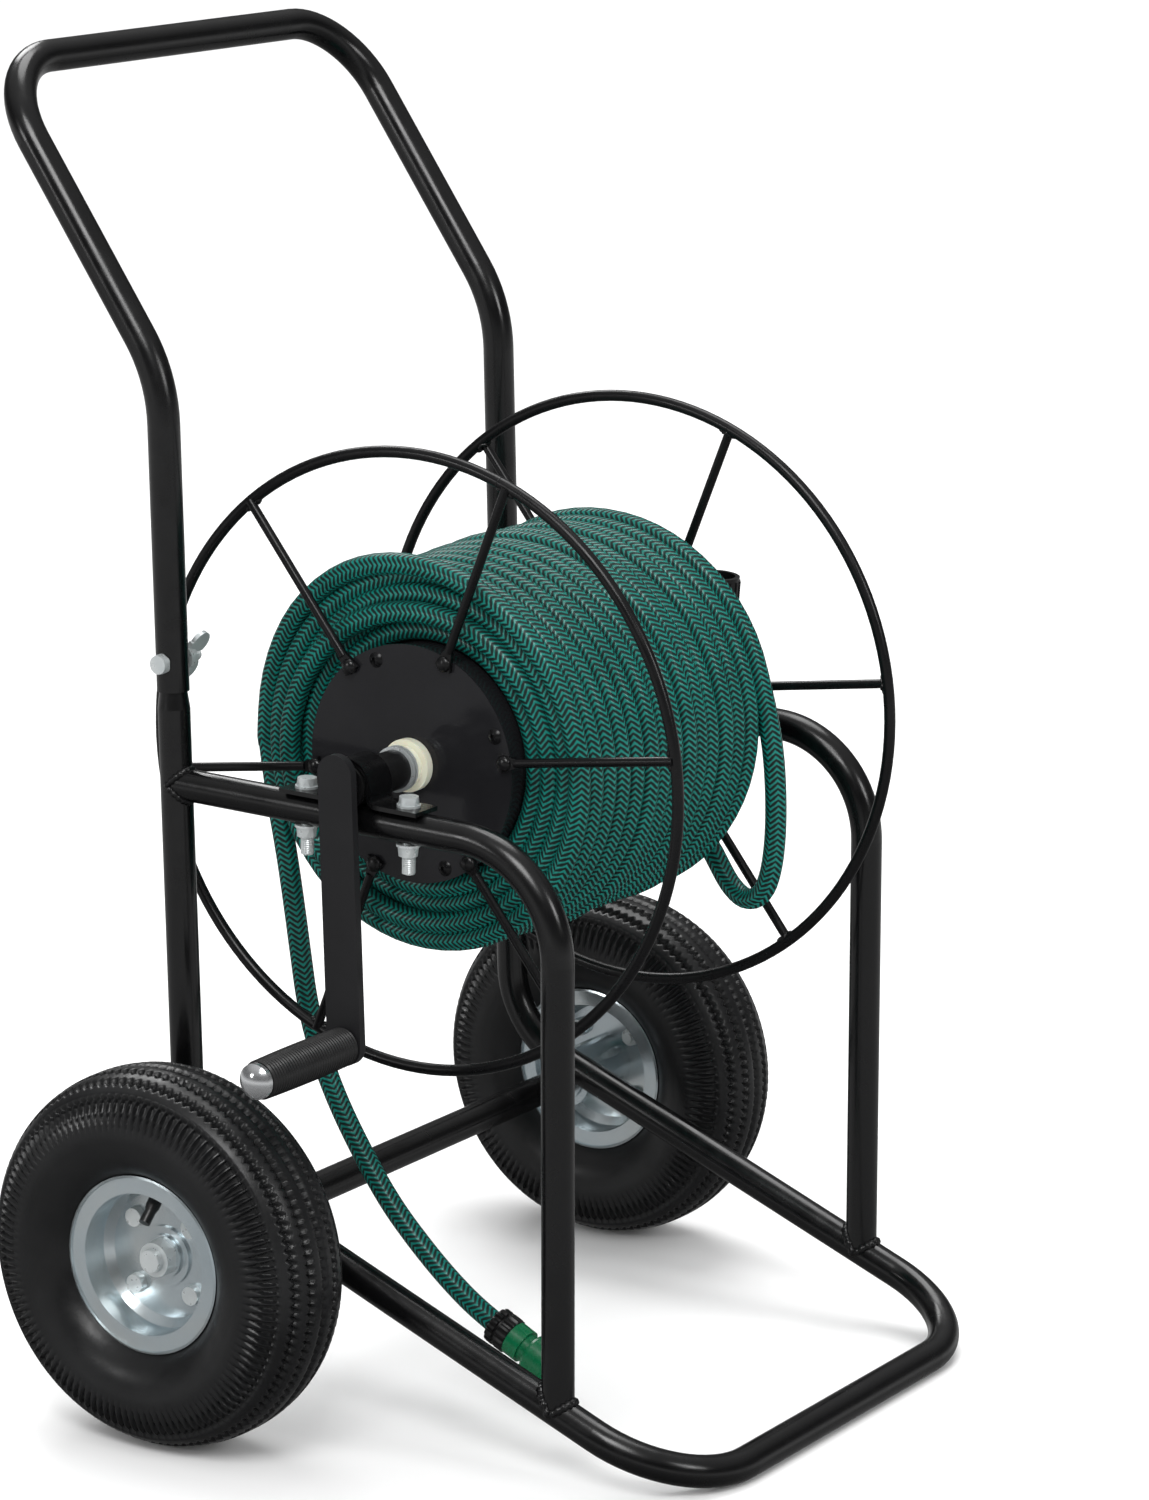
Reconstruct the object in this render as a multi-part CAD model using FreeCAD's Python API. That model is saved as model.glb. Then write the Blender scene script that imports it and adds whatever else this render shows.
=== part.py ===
import FreeCAD, Part
import math
import os

# Garden hose reel cart. Millimetres, +Z up. The wheel axle and the reel axle lie along X, the
# crank side is -X, the handle side is +Y and the rounded front of the base is -Y. The origin is
# on the floor, straight below the middle of the wheel axle.

V = FreeCAD.Vector
SIDES = {"left": -1, "right": 1}      # left is the crank side

# ---- frame tubes ----
TUBE_R = 11.0                  # outer radius of every frame tube
TUBE_WALL = 1.5
FRAME_HALF = 197.0             # middle plane to the centre line of each side frame
FRONT_Y = -363.0               # centre line of the front bar
FRONT_CORNER_R = 75.0
REAR_BEND_R = 70.0
RAIL_WELD_GAP = 0.11           # base rail to the axle's cross tube, filled by the weld
UPRIGHT_FOOT_Y = 33.0          # upright line carried down to the floor
UPRIGHT_LEAN = 0.0225          # rearward travel per mm of height
LEG_Y = -264.0
HOOP_FALL = 0.024              # fall of the hoop rail per mm forward
HOOP_BEND_R = 75.0

# ---- handle ----
HANDLE_FOOT_Z = 497.0
HANDLE_BOLT_Z = 517.0
HANDLE_BEND_Z = 708.0
HANDLE_BEND_R = 105.0
HANDLE_TOP_Y = 187.0
HANDLE_TOP_Z = 907.0
HANDLE_CORNER_R = 60.0
SWAGE_LENGTH = 12.0            # cone where the upright narrows to enter the handle
SWAGE_ENTRY = 58.0             # straight part inside the handle
SOCKET_PLAY = 0.1              # radial, swaged end in the handle

# ---- wheels ----
WHEEL_R = 130.0
WHEEL_OUT = 74.0               # side frame's centre line to the tyre's middle plane
WHEEL_X = FRAME_HALF + WHEEL_OUT
TYRE_HALF = 42.5
TYRE_WALL = 7.0
RIM_R = 61.5
RIM_HALF = 27.0
BEAD_R = 51.0
RIM_SHEET = 2.0
FLAT_R = 43.5                  # edge of the flat where the rim halves meet
RIM_BOLT_CIRCLE = 33.0
RIM_BOLT_R = 4.0
RIM_BOLTS = 4
RIM_BOLT_ANGLE = 45.0          # first rim bolt, from straight up
INNER_TUBE_SKIN = 2.0
STEM_R = 4.8                   # valve stem
STEM_CAP_R = 3.9
STEM_BODY = 19.0               # thick part, then a cone and the cap
STEM_CONE = 4.0
STEM_CAP = 9.0
AXLE_R = 8.0                   # wheel axle rod
AXLE_PLAY = 0.05               # radial, rod in bearings
CROSS_TUBE_PLAY = 0.2          # radial, rod in the cross tube
CROSS_TUBE_OVERHANG = 12.0     # past the side frame's centre line
AXLE_END = 20.0                # rod end past the tyre's middle plane
HUB_R = 20.5
HUB_BORE = 17.5
HUB_OUT = 4.0                  # hub end outboard of the tyre's middle plane
BEARING_WIDTH = 11.0
AXLE_WASHER = 2.0
AXLE_WASHER_R = 15.0
AXLE_NUT_HEX = 24.0
AXLE_NUT = 9.0
SEAT_GAP = 0.3                 # clearance between faces that turn past each other

# ---- reel ----
REEL_Y = -107.0
REEL_Z = 454.0
FLANGE_X = 136.0               # middle plane of each flange disc and ring
RING_R = 209.5
WIRE_R = 4.0
DISC_SHEET = 2.0
SPOKES = 6
SPOKE_R = 3.2
SPOKE_TAB = 3.0                # thickness of a spoke's flattened end
SPOKE_ANGLE = 38.0             # first spoke, from straight up towards the rear
DRUM_R = 79.0
DRUM_SHEET = 1.0
DISC_R = DRUM_R + 2.0
TIE_CIRCLE = DRUM_R - 6.0
TIE_R = 3.0
TIE_RODS = 4
TIE_ANGLE = 22.0
REEL_AXLE_R = 11.0
REEL_AXLE_BORE = REEL_AXLE_R - 3.0
BUSH_R = REEL_AXLE_R + 4.0     # black bearing bush under the strap
BUSH_SEAT = BUSH_R - 1.93      # reel axis down to the rail's top, inside the bush's saddle
RAIL_DROP = BUSH_SEAT + TUBE_R
BUSH_LENGTH = 30.0
BUSH_PLAY = 0.08               # radial, axle in bush
STRAP_SHEET = 3.0
STRAP_WIDTH = 25.0
STRAP_PLAY = 0.3               # radial, bush in strap
STRAP_BOLT_SPAN = 41.0         # reel axis to each strap bolt, along the rail
STRAP_FOOT = 55.0              # reel axis to the end of each foot
BOLT_R = 4.0                   # M8 strap and handle bolts
BOLT_PLAY = 0.25
BOLT_HEX = 13.0                # across flats
BOLT_HEAD = 5.3
BOLT_NUT = 6.5
BOLT_WASHER_R = 8.0
BOLT_WASHER = 1.6
BOLT_TAIL = 20.0               # strap bolt length below the rail
NYLON_R = REEL_AXLE_R + 7.0
NYLON_FLANGE = 6.0
NYLON_SLEEVE = 7.0
SPACER_R = REEL_AXLE_R + 2.5   # spacer sleeves and the nylon bush's neck
THRUST_R = REEL_AXLE_R + 4.5
THRUST_SHEET = 2.0
THRUST_PITCH = 3.5
AXLE_SIDE_GAP = 1.0            # spacer sleeve to bearing bush
AXLE_END_PAST_BUSH = 4.0
OUTLET_R = 7.0                 # pipe from the axle to the hose's inner end
OUTLET_BORE = 4.5
OUTLET_ANGLE = 135.0           # outlet pipe, from straight up towards the rear
TIE_HEAD_R = 7.0
TIE_NUT_HEX = 10.0
TIE_NUT = 5.0

# ---- crank ----
CRANK_R = 173.0
CRANK_ARM_WIDTH = 27.0
CRANK_ARM_SHEET = 6.0
CRANK_TOP = 23.0               # arm end above the reel axis
CRANK_GAP = 9.0                # side frame tube to the arm
CRANK_ANGLE = -1.7             # rest angle of the arm, forward of straight down
GRIP_R = 13.2
GRIP_LENGTH = 92.0
SPINDLE_R = 4.0
GRIP_PLAY = 0.08               # radial, grip on spindle
GRIP_GAP = 1.0                 # end play of the grip at each end
GRIP_RIBS = 34
GRIP_SWELL = 0.6               # fuller in the middle than at the ends
RIB_HEIGHT = 0.6
CAP_R = 12.0
CAP_LENGTH = 9.0
CAP_DOME_R = 16.0
SPINDLE_SINK = 4.0             # cap's crown to the spindle's end

# ---- water inlet ----
NIPPLE_R = REEL_AXLE_R - 2.0
NIPPLE_BORE = NIPPLE_R - 3.5
HOUSING_R = NIPPLE_R + 5.0
HOUSING_LENGTH = 30.0
HOUSING_PLAY = 0.08
HOUSING_GAP = 1.0
NIPPLE_COLLAR = 3.0
NIPPLE_SINK = 22.0             # nipple inside the reel axle
SEAL_WIRE = 0.75
SEAL_AT = (6.0, 13.0)          # seals, from the nipple's collar
RISER_R = 9.0
RISER_BORE = 6.0
LOCK_NUT = 8.0
INLET_RISE = 66.0              # reel axis to the top of the inlet
INLET_LEAN = 5.0               # degrees forward of straight up
INLET_THREAD_R = 12.2          # G 3/4 female end, minor radius
INLET_HEIGHT = 26.0            # ribbed screw end
INLET_FLOOR = 8.0
INLET_WALL = 3.3
INLET_RIBS = 16

# ---- hose ----
HOSE_R = 7.5
LAY_R = 139.5                  # centre line of hose lying on the pack
PACK_R = LAY_R - HOSE_R
PACK_HALF = 129.0
PACK_GAP = 0.4                 # hose pack clear of the drum
TAIL = [(-106, 33, 447), (-106, 28, 411), (-106, 20, 373), (-107, 13, 335), (-108, 7, 299),
        (-109, 1, 264), (-110, -10, 231), (-112, -26, 200), (-114, -47, 169), (-118, -73, 138),
        (-121, -101, 113), (-124, -129, 92), (-126, -155, 76), (-127, -179, 65)]
LOOP = [(118, -179, 361), (117, -190, 345), (115, -202, 329), (111, -218, 321), (107, -234, 329),
        (105, -242, 349), (103, -246, 376), (101, -247, 406), (100, -245, 437), (99, -239, 467)]
COLLAR_R = HOSE_R + 5.5
COLLAR_LENGTH = 17.0
COLLAR_PLAY = 0.2              # radial, hose in the collar nut
COLLAR_GRIP = 14.0             # collar nut's reach back over the hose
CONNECTOR_R = HOSE_R + 3.5
CONNECTOR_SHOULDER = 11.0
CONNECTOR_LENGTH = 38.0
SLEEVE_R = CONNECTOR_R + 3.0
SLEEVE_LENGTH = 19.0
SLEEVE_TRAVEL = 5.0
SOCKET_R = 6.6
SLEEVE_PLAY = 0.1

AXIS_Y = V(0, 1, 0)
AXIS_X = V(1, 0, 0)


# ---- helpers ----
def rod(radius, start, end):
    return Part.makeCylinder(radius, (end - start).Length, start, end - start)


def pipe(outer, inner, start, end):
    return rod(outer, start, end).cut(rod(inner, start, end))


def along_x(outer, inner, x0, x1, y=0.0, z=0.0):
    return pipe(outer, inner, V(x0, y, z), V(x1, y, z)) if inner else rod(outer, V(x0, y, z), V(x1, y, z))


def ring(radius, wire, centre):
    return Part.makeTorus(radius, wire, centre, AXIS_X)


def corner(before, point, after, radius=None):
    """Tangent points, middle and radius of a corner's arc; the shorter run sets a radius not given."""
    back, ahead = before - point, after - point
    half_turn = (math.pi - back.getAngle(ahead)) / 2
    if radius is None:
        radius = 0.45 * min(back.Length, ahead.Length) / math.tan(half_turn)
    tangent = radius * math.tan(half_turn)
    back.normalize()
    ahead.normalize()
    inward = (back + ahead).normalize()
    middle = point + inward * (radius / math.cos(half_turn) - radius)
    return point + back * tangent, middle, point + ahead * tangent, radius


def rounded_path(points, radii=None):
    """A wire of straight runs joined by tangent arcs, its length and its radii."""
    points = [V(*p) for p in points]
    edges, used, at = [], [], points[0]
    for i in range(1, len(points) - 1):
        start, middle, end, radius = corner(points[i - 1], points[i], points[i + 1],
                                            radii[i - 1] if radii else None)
        used.append(radius)
        if (start - at).Length > 1e-6:
            edges.append(Part.LineSegment(at, start).toShape())
        edges.append(Part.Arc(start, middle, end).toShape())
        at = end
    edges.append(Part.LineSegment(at, points[-1]).toShape())
    return Part.Wire(edges), used


def sweep(wire, radius, start, toward):
    profile = Part.Wire([Part.makeCircle(radius, V(*start), V(*toward) - V(*start))])
    return wire.makePipeShell([profile], True, True)


def bent_tube(points, radii, outer, wall):
    wire = rounded_path(points, radii)[0]
    shell = sweep(wire, outer, points[0], points[1])
    bore = sweep(wire, outer - wall, points[0], points[1])
    return shell, shell.cut(bore)


def cord_tube(name, points):
    wire, radii = rounded_path(points)
    solid = sweep(wire, HOSE_R, points[0], points[1])
    expected = math.pi * HOSE_R ** 2 * wire.Length
    print(name, "length", round(wire.Length, 1), "volume / expected", round(solid.Volume / expected, 4),
          "radii", [round(r) for r in radii])
    return solid


def revolve_x(profile, centre):
    """Turn a closed outline of (x, radius) points about the X axis through a point."""
    face = Part.Face(Part.makePolygon([V(x, 0, r) for x, r in profile + profile[:1]]))
    solid = face.revolve(V(0, 0, 0), AXIS_X, 360)
    solid.translate(centre)
    return solid


def aim(shape, axis):
    """Turn a piece drawn along +Z to point along an axis."""
    shape.Placement = FreeCAD.Placement(V(0, 0, 0), FreeCAD.Rotation(V(0, 0, 1), axis))
    return shape


def hexagon(across_flats, height, base, axis, bore=0.0):
    """Hexagon head or nut with its top corners chamfered."""
    radius = across_flats / math.sqrt(3)
    corners = [V(radius * math.cos(math.radians(60 * i)), radius * math.sin(math.radians(60 * i)), 0)
               for i in range(7)]
    solid = Part.Face(Part.makePolygon(corners)).extrude(V(0, 0, height))
    chamfer = Part.makeCone(radius * 1.02, radius * 0.84, height * 2.2, V(0, 0, -height * 1.1))
    solid = solid.common(chamfer)
    if bore:
        solid = solid.cut(Part.makeCylinder(bore, height, V(0, 0, 0)))
    solid = aim(solid, axis)
    solid.translate(base)
    return solid


def turned(shape, degrees, centre, axis=AXIS_X):
    copy = shape.copy()
    copy.rotate(centre, axis, degrees)
    return copy


def around(shape, count, centre, first=0.0):
    return [turned(shape, first + i * 360.0 / count, centre) for i in range(count)]


def save(name, *solids):
    shape = solids[0].copy() if len(solids) == 1 else Part.makeCompound(list(solids))
    shape.translate(-ORIGIN)
    shape.exportStep("parts/%s.step" % name)


# ---- shared places ----
def upright_y(z):
    return UPRIGHT_FOOT_Y + UPRIGHT_LEAN * z


def rail_slope():
    """Slope of the base rails at which they lie on the axle's cross tube, a weld's gap apart."""
    run, rise, drop = -FRONT_Y, WHEEL_R - TUBE_R, 2 * TUBE_R + RAIL_WELD_GAP
    square = run ** 2 - drop ** 2
    return (run * rise + math.sqrt((run * rise) ** 2 - square * (rise ** 2 - drop ** 2))) / square


BASE_SLOPE = rail_slope()


def base_z(y):
    return TUBE_R + BASE_SLOPE * (y - FRONT_Y)


def hoop_z(y):
    """Height of the hoop rail, which carries the bushes at the reel axis."""
    return REEL_Z - RAIL_DROP * math.hypot(1, HOOP_FALL) + HOOP_FALL * (y - REEL_Y)


REEL = V(0, REEL_Y, REEL_Z)
WHEEL_AXIS = V(0, 0, WHEEL_R)
REAR_Z = (TUBE_R + BASE_SLOPE * (UPRIGHT_FOOT_Y - FRONT_Y)) / (1 - BASE_SLOPE * UPRIGHT_LEAN)
BORE_R = TUBE_R - TUBE_WALL
SWAGE_Z = HANDLE_FOOT_Z - SWAGE_LENGTH
UPRIGHT_DIR = V(0, UPRIGHT_LEAN, 1).normalize()
RAIL_TILT = -math.degrees(math.atan(HOOP_FALL))
ARM_X = -(FRAME_HALF + TUBE_R + CRANK_GAP)       # inner face of the crank arm
GRIP_IN = ARM_X - CRANK_ARM_SHEET - GRIP_GAP
GRIP_OUT = GRIP_IN - GRIP_LENGTH
CAP_OUT = GRIP_OUT - GRIP_GAP - CAP_LENGTH
ORIGIN = V((CAP_OUT + WHEEL_X + TYRE_HALF) / 2, (FRONT_Y + HANDLE_TOP_Y) / 2, 0)
REEL_AXLE_END = FRAME_HALF + BUSH_LENGTH / 2 + AXLE_END_PAST_BUSH
HUB_IN = WHEEL_X - FRAME_HALF - CROSS_TUBE_OVERHANG - AXLE_WASHER - SEAT_GAP


# ---- frame ----
def frame_tubes():
    """One bent tube for the base and both uprights, and a hoop on each side."""
    side = [(upright_y(SWAGE_Z), SWAGE_Z), (upright_y(REAR_Z), REAR_Z), (FRONT_Y, TUBE_R)]
    points = [(-FRAME_HALF, y, z) for y, z in side] + [(FRAME_HALF, y, z) for y, z in side[::-1]]
    radii = [REAR_BEND_R, FRONT_CORNER_R, FRONT_CORNER_R, REAR_BEND_R]
    filled, base = bent_tube(points, radii, TUBE_R, TUBE_WALL)
    entry_r = BORE_R - SOCKET_PLAY
    for sign in SIDES.values():
        top = V(sign * FRAME_HALF, upright_y(SWAGE_Z), SWAGE_Z)
        neck = top + UPRIGHT_DIR * SWAGE_LENGTH
        swage = Part.makeCone(TUBE_R, entry_r, SWAGE_LENGTH, top, UPRIGHT_DIR)
        swage = swage.cut(Part.makeCone(BORE_R, entry_r - TUBE_WALL, SWAGE_LENGTH, top, UPRIGHT_DIR))
        entry = pipe(entry_r, entry_r - TUBE_WALL, neck, neck + UPRIGHT_DIR * SWAGE_ENTRY)
        base = base.fuse([swage, entry])
    for sign in SIDES.values():
        base = base.cut(handle_bolt_bore(sign))
    save("base_frame_tube", base.removeSplitter())

    for name, sign in SIDES.items():
        x = sign * FRAME_HALF
        rear_y = upright_y(hoop_z(UPRIGHT_FOOT_Y))
        hoop = [(x, rear_y, hoop_z(rear_y)), (x, LEG_Y, hoop_z(LEG_Y)), (x, LEG_Y, base_z(LEG_Y))]
        tube = bent_tube(hoop, [HOOP_BEND_R], TUBE_R, TUBE_WALL)[1].cut(filled)
        for bolt_y in (-STRAP_BOLT_SPAN, STRAP_BOLT_SPAN):
            tube = tube.cut(on_rail(rod(BOLT_R + BOLT_PLAY, V(0, bolt_y, -RAIL_DROP - 2 * TUBE_R),
                                        V(0, bolt_y, 0)), sign))
        save(name + "_side_hoop", max(tube.Solids, key=lambda s: s.Volume))

    end = FRAME_HALF + CROSS_TUBE_OVERHANG
    cross = along_x(TUBE_R, AXLE_R + CROSS_TUBE_PLAY, -end, end, 0, WHEEL_R).cut(filled)
    save("axle_cross_tube", cross)


def on_rail(shape, sign):
    """Place a piece drawn about the reel axis, with the hoop rail level below it."""
    shape.rotate(V(0, 0, 0), AXIS_X, -RAIL_TILT)
    shape.translate(V(sign * FRAME_HALF, REEL_Y, REEL_Z))
    return shape


def handle_bolt_bore(sign, play=BOLT_PLAY):
    y, x = upright_y(HANDLE_BOLT_Z), sign * FRAME_HALF
    return rod(BOLT_R + play, V(x - 2 * TUBE_R, y, HANDLE_BOLT_Z), V(x + 2 * TUBE_R, y, HANDLE_BOLT_Z))


def handle():
    side = [(upright_y(HANDLE_FOOT_Z), HANDLE_FOOT_Z), (upright_y(HANDLE_BEND_Z), HANDLE_BEND_Z),
            (HANDLE_TOP_Y, HANDLE_TOP_Z)]
    points = [(-FRAME_HALF, y, z) for y, z in side] + [(FRAME_HALF, y, z) for y, z in side[::-1]]
    radii = [HANDLE_BEND_R, HANDLE_CORNER_R, HANDLE_CORNER_R, HANDLE_BEND_R]
    tube = bent_tube(points, radii, TUBE_R, TUBE_WALL)[1]
    bolts, nuts = [], []
    y = upright_y(HANDLE_BOLT_Z)
    for sign in SIDES.values():
        tube = tube.cut(handle_bolt_bore(sign))
        out, face = V(sign, 0, 0), V(sign * (FRAME_HALF + TUBE_R), y, HANDLE_BOLT_Z)
        inner = face - out * (2 * TUBE_R + 16)
        bolts.append(rod(BOLT_R, inner, face).fuse(hexagon(BOLT_HEX, BOLT_HEAD, face, out)))
        nuts.append(wing_nut(face - out * 2 * TUBE_R, -out))
    save("handle_tube", tube)
    save("handle_bolts", *bolts)
    save("handle_wing_nuts", *nuts)


def wing_nut(seat, axis):
    """Round boss with two upright wings."""
    boss = Part.makeCone(8.5, 6.5, 9, V(0, 0, 0), V(0, 0, 1))
    wing = Part.makeCylinder(8.5, 3, V(0, -1.5, 0), AXIS_Y)
    wings = []
    for side in (-1, 1):
        copy = wing.copy()
        copy.translate(V(side * 10.5, 0, 12.5))
        wings.append(copy)
    web = Part.makeBox(25, 3, 9, V(-12.5, -1.5, 2))
    nut = boss.fuse(wings + [web]).cut(Part.makeCylinder(BOLT_R, 40, V(0, 0, -2)))
    nut.rotate(V(0, 0, 0), AXIS_Y, 90 if axis.x > 0 else -90)
    nut.rotate(V(0, 0, 0), AXIS_X, 28)
    nut.translate(seat)
    return nut.removeSplitter()


# ---- reel bearings on the hoops ----
def bearings():
    """Straps bolted over ribbed bushes, each bush hollowed underneath to sit on the rail."""
    bolts, washers, nuts, straps, bushes = [], [], [], [], []
    seat = -RAIL_DROP + TUBE_R
    mid = BUSH_R + STRAP_PLAY + STRAP_SHEET / 2
    foot = seat + STRAP_SHEET / 2
    for sign in SIDES.values():
        outline = [(0, -STRAP_FOOT, foot), (0, -mid, foot), (0, -mid, mid), (0, mid, mid),
                   (0, mid, foot), (0, STRAP_FOOT, foot)]
        knee = STRAP_SHEET + 3
        wire = rounded_path(outline, [knee, mid, mid, knee])[0]
        half, sheet = STRAP_WIDTH / 2, STRAP_SHEET / 2
        y = -STRAP_FOOT
        profile = Part.makePolygon([V(-half, y, foot - sheet), V(half, y, foot - sheet),
                                    V(half, y, foot + sheet), V(-half, y, foot + sheet),
                                    V(-half, y, foot - sheet)])
        strap = wire.makePipeShell([profile], True, True)
        for bolt_y in (-STRAP_BOLT_SPAN, STRAP_BOLT_SPAN):
            strap = strap.cut(rod(BOLT_R + BOLT_PLAY, V(0, bolt_y, seat - 5), V(0, bolt_y, seat + 10)))
            top, low = seat + STRAP_SHEET, seat - 2 * TUBE_R
            up, down = V(0, 0, 1), V(0, 0, -1)
            for z in (top, low - BOLT_WASHER):
                washer = pipe(BOLT_WASHER_R, BOLT_R + BOLT_PLAY, V(0, bolt_y, z),
                              V(0, bolt_y, z + BOLT_WASHER))
                washers.append(on_rail(washer, sign))
            head = hexagon(BOLT_HEX, BOLT_HEAD, V(0, bolt_y, top + BOLT_WASHER), up)
            shank = rod(BOLT_R, V(0, bolt_y, low - BOLT_TAIL), V(0, bolt_y, top + BOLT_WASHER))
            bolts.append(on_rail(head.fuse(shank), sign))
            nut = hexagon(BOLT_HEX, BOLT_NUT, V(0, bolt_y, low - BOLT_WASHER), down, BOLT_R)
            nuts.append(on_rail(nut, sign))
        straps.append(on_rail(strap, sign))

        x = sign * FRAME_HALF
        half = BUSH_LENGTH / 2
        bush = along_x(BUSH_R, REEL_AXLE_R + BUSH_PLAY, x - half, x + half, REEL_Y, REEL_Z)
        rail = rod(TUBE_R, V(0, -2 * BUSH_R, -RAIL_DROP), V(0, 2 * BUSH_R, -RAIL_DROP))
        bush = bush.cut(on_rail(rail, sign))
        for i in range(3):
            groove_x = x + sign * (half - 2.2 - 2.6 * i)
            groove = along_x(BUSH_R + 1, BUSH_R - 1.2, groove_x - 0.6, groove_x + 0.6, REEL_Y, REEL_Z)
            bush = bush.cut(groove)
        bushes.append(bush)
    save("bearing_straps", *straps)
    save("bearing_bushes", *bushes)
    save("bearing_strap_bolts", *bolts)
    save("bearing_strap_washers", *washers)
    save("bearing_strap_nuts", *nuts)


# ---- wheels ----
def wheels():
    reach = WHEEL_X + AXLE_END
    save("wheel_axle", along_x(AXLE_R, 0, -reach, reach, 0, WHEEL_R))
    nuts, washers = [], []
    hub_in = -HUB_IN
    for name, sign in SIDES.items():
        centre = V(sign * WHEEL_X, 0, WHEEL_R)

        def place(profile):
            return revolve_x([(sign * x, r) for x, r in profile], centre)

        save(name + "_tyre", place(TYRE_OUTLINE))
        save(name + "_inner_tube", place(INNER_TUBE_OUTLINE).cut(place(INNER_TUBE_AIR)))

        bolt = rod(RIM_BOLT_R, V(-RIM_SHEET - 10, 0, RIM_BOLT_CIRCLE), V(RIM_SHEET, 0, RIM_BOLT_CIRCLE))
        bolt = bolt.fuse(hexagon(BOLT_HEX, BOLT_HEAD, V(RIM_SHEET, 0, RIM_BOLT_CIRCLE), AXIS_X))
        nut = hexagon(BOLT_HEX, BOLT_NUT, V(-RIM_SHEET, 0, RIM_BOLT_CIRCLE), -AXIS_X, RIM_BOLT_R)
        hole = rod(RIM_BOLT_R + BOLT_PLAY, V(-9, 0, RIM_BOLT_CIRCLE), V(9, 0, RIM_BOLT_CIRCLE))

        def set_around(shape):
            copies = []
            for copy in around(shape, RIM_BOLTS, V(0, 0, 0), RIM_BOLT_ANGLE):
                if sign < 0:
                    copy.rotate(V(0, 0, 0), V(0, 0, 1), 180)
                copy.translate(centre)
                copies.append(copy)
            return copies

        save(name + "_rim_bolts_and_nuts", *set_around(bolt), *set_around(nut))

        stem_start = centre + V(sign * STEM_R * 0.4, 0, BEAD_R)
        stem_dir = V(sign, 0, -1).normalize()
        stem_hole = rod(STEM_R, stem_start - stem_dir * 4, stem_start + stem_dir * 14)
        stem_neck = stem_start + stem_dir * STEM_BODY
        stem = rod(STEM_R, stem_start, stem_neck)
        stem_cap = stem_neck + stem_dir * STEM_CONE
        stem = stem.fuse(Part.makeCone(STEM_R, STEM_CAP_R, STEM_CONE, stem_neck, stem_dir))
        stem = stem.fuse(rod(STEM_CAP_R, stem_cap, stem_cap + stem_dir * STEM_CAP))
        stem = stem.cut(place([(-5, BEAD_R + 4), (-5, BEAD_R), (30, BEAD_R), (30, BEAD_R + 4)]))
        outer = place(RIM_OUTLINE).cut(stem_hole)
        inner = revolve_x([(-sign * x, r) for x, r in RIM_OUTLINE], centre)
        for bore in set_around(hole):
            outer, inner = outer.cut(bore), inner.cut(bore)
        save(name + "_rim_outer_half", outer)
        save(name + "_rim_inner_half", inner)
        save(name + "_valve_stem", stem)

        barrel = [(hub_in, HUB_BORE), (hub_in, HUB_R), (-RIM_SHEET, HUB_R), (-RIM_SHEET, HUB_R - 1),
                  (RIM_SHEET, HUB_R - 1), (RIM_SHEET, HUB_R), (HUB_OUT, HUB_R), (HUB_OUT, HUB_BORE),
                  (HUB_OUT - BEARING_WIDTH, HUB_BORE), (HUB_OUT - BEARING_WIDTH, HUB_BORE - 2),
                  (hub_in + BEARING_WIDTH, HUB_BORE - 2), (hub_in + BEARING_WIDTH, HUB_BORE)]
        save(name + "_hub", place(barrel))
        races = []
        for x in (hub_in, HUB_OUT - BEARING_WIDTH):
            bore, width = AXLE_R + AXLE_PLAY, BEARING_WIDTH
            races.append(place([(x, bore), (x, bore + 3), (x + 1, bore + 3), (x + 1, HUB_BORE - 3),
                                (x, HUB_BORE - 3), (x, HUB_BORE), (x + width, HUB_BORE),
                                (x + width, HUB_BORE - 3), (x + width - 1, HUB_BORE - 3),
                                (x + width - 1, bore + 3), (x + width, bore + 3), (x + width, bore)]))
        save(name + "_wheel_bearings", *races)

        inner_x = WHEEL_X + hub_in - SEAT_GAP
        outer_x = WHEEL_X + HUB_OUT + SEAT_GAP
        for x in (inner_x - AXLE_WASHER, outer_x):
            washers.append(along_x(AXLE_WASHER_R, AXLE_R + CROSS_TUBE_PLAY, sign * x,
                                   sign * (x + AXLE_WASHER), 0, WHEEL_R))
        nuts.append(hexagon(AXLE_NUT_HEX, AXLE_NUT, V(sign * (outer_x + AXLE_WASHER), 0, WHEEL_R),
                            AXIS_X * sign, AXLE_R))
    save("axle_washers", *washers)
    save("axle_nuts", *nuts)


def mirrored(half):
    """Close an outline given on its outboard side, from the crown or inside out."""
    return half + [(-x, r) for x, r in half[::-1]]


def side(share):
    """Radius at a share of the way from the rim's edge to the tyre's crown."""
    return RIM_R + share * (WHEEL_R - RIM_R)


SEAT_X = RIM_HALF - RIM_SHEET
TUBE_SIDE = TYRE_HALF - TYRE_WALL
TYRE_OUTLINE = mirrored([
    (TYRE_HALF * 0.42, WHEEL_R), (TYRE_HALF * 0.75, side(0.94)), (TYRE_HALF * 0.92, side(0.81)),
    (TYRE_HALF, side(0.56)), (TYRE_HALF * 0.97, side(0.33)), (TYRE_HALF * 0.84, side(0.117)),
    (RIM_HALF + 1.5, RIM_R + 0.5), (SEAT_X, RIM_R - 2), (SEAT_X, BEAD_R),
    (RIM_HALF - TYRE_WALL - 4, BEAD_R), (RIM_HALF - TYRE_WALL - 2, side(0.03)),
    (TUBE_SIDE - 4, side(0.2)), (TUBE_SIDE, side(0.37)), (TUBE_SIDE - 2, side(0.6)),
    (TYRE_HALF * 0.6, side(0.78)), (TYRE_HALF * 0.3, side(0.825))])
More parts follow.
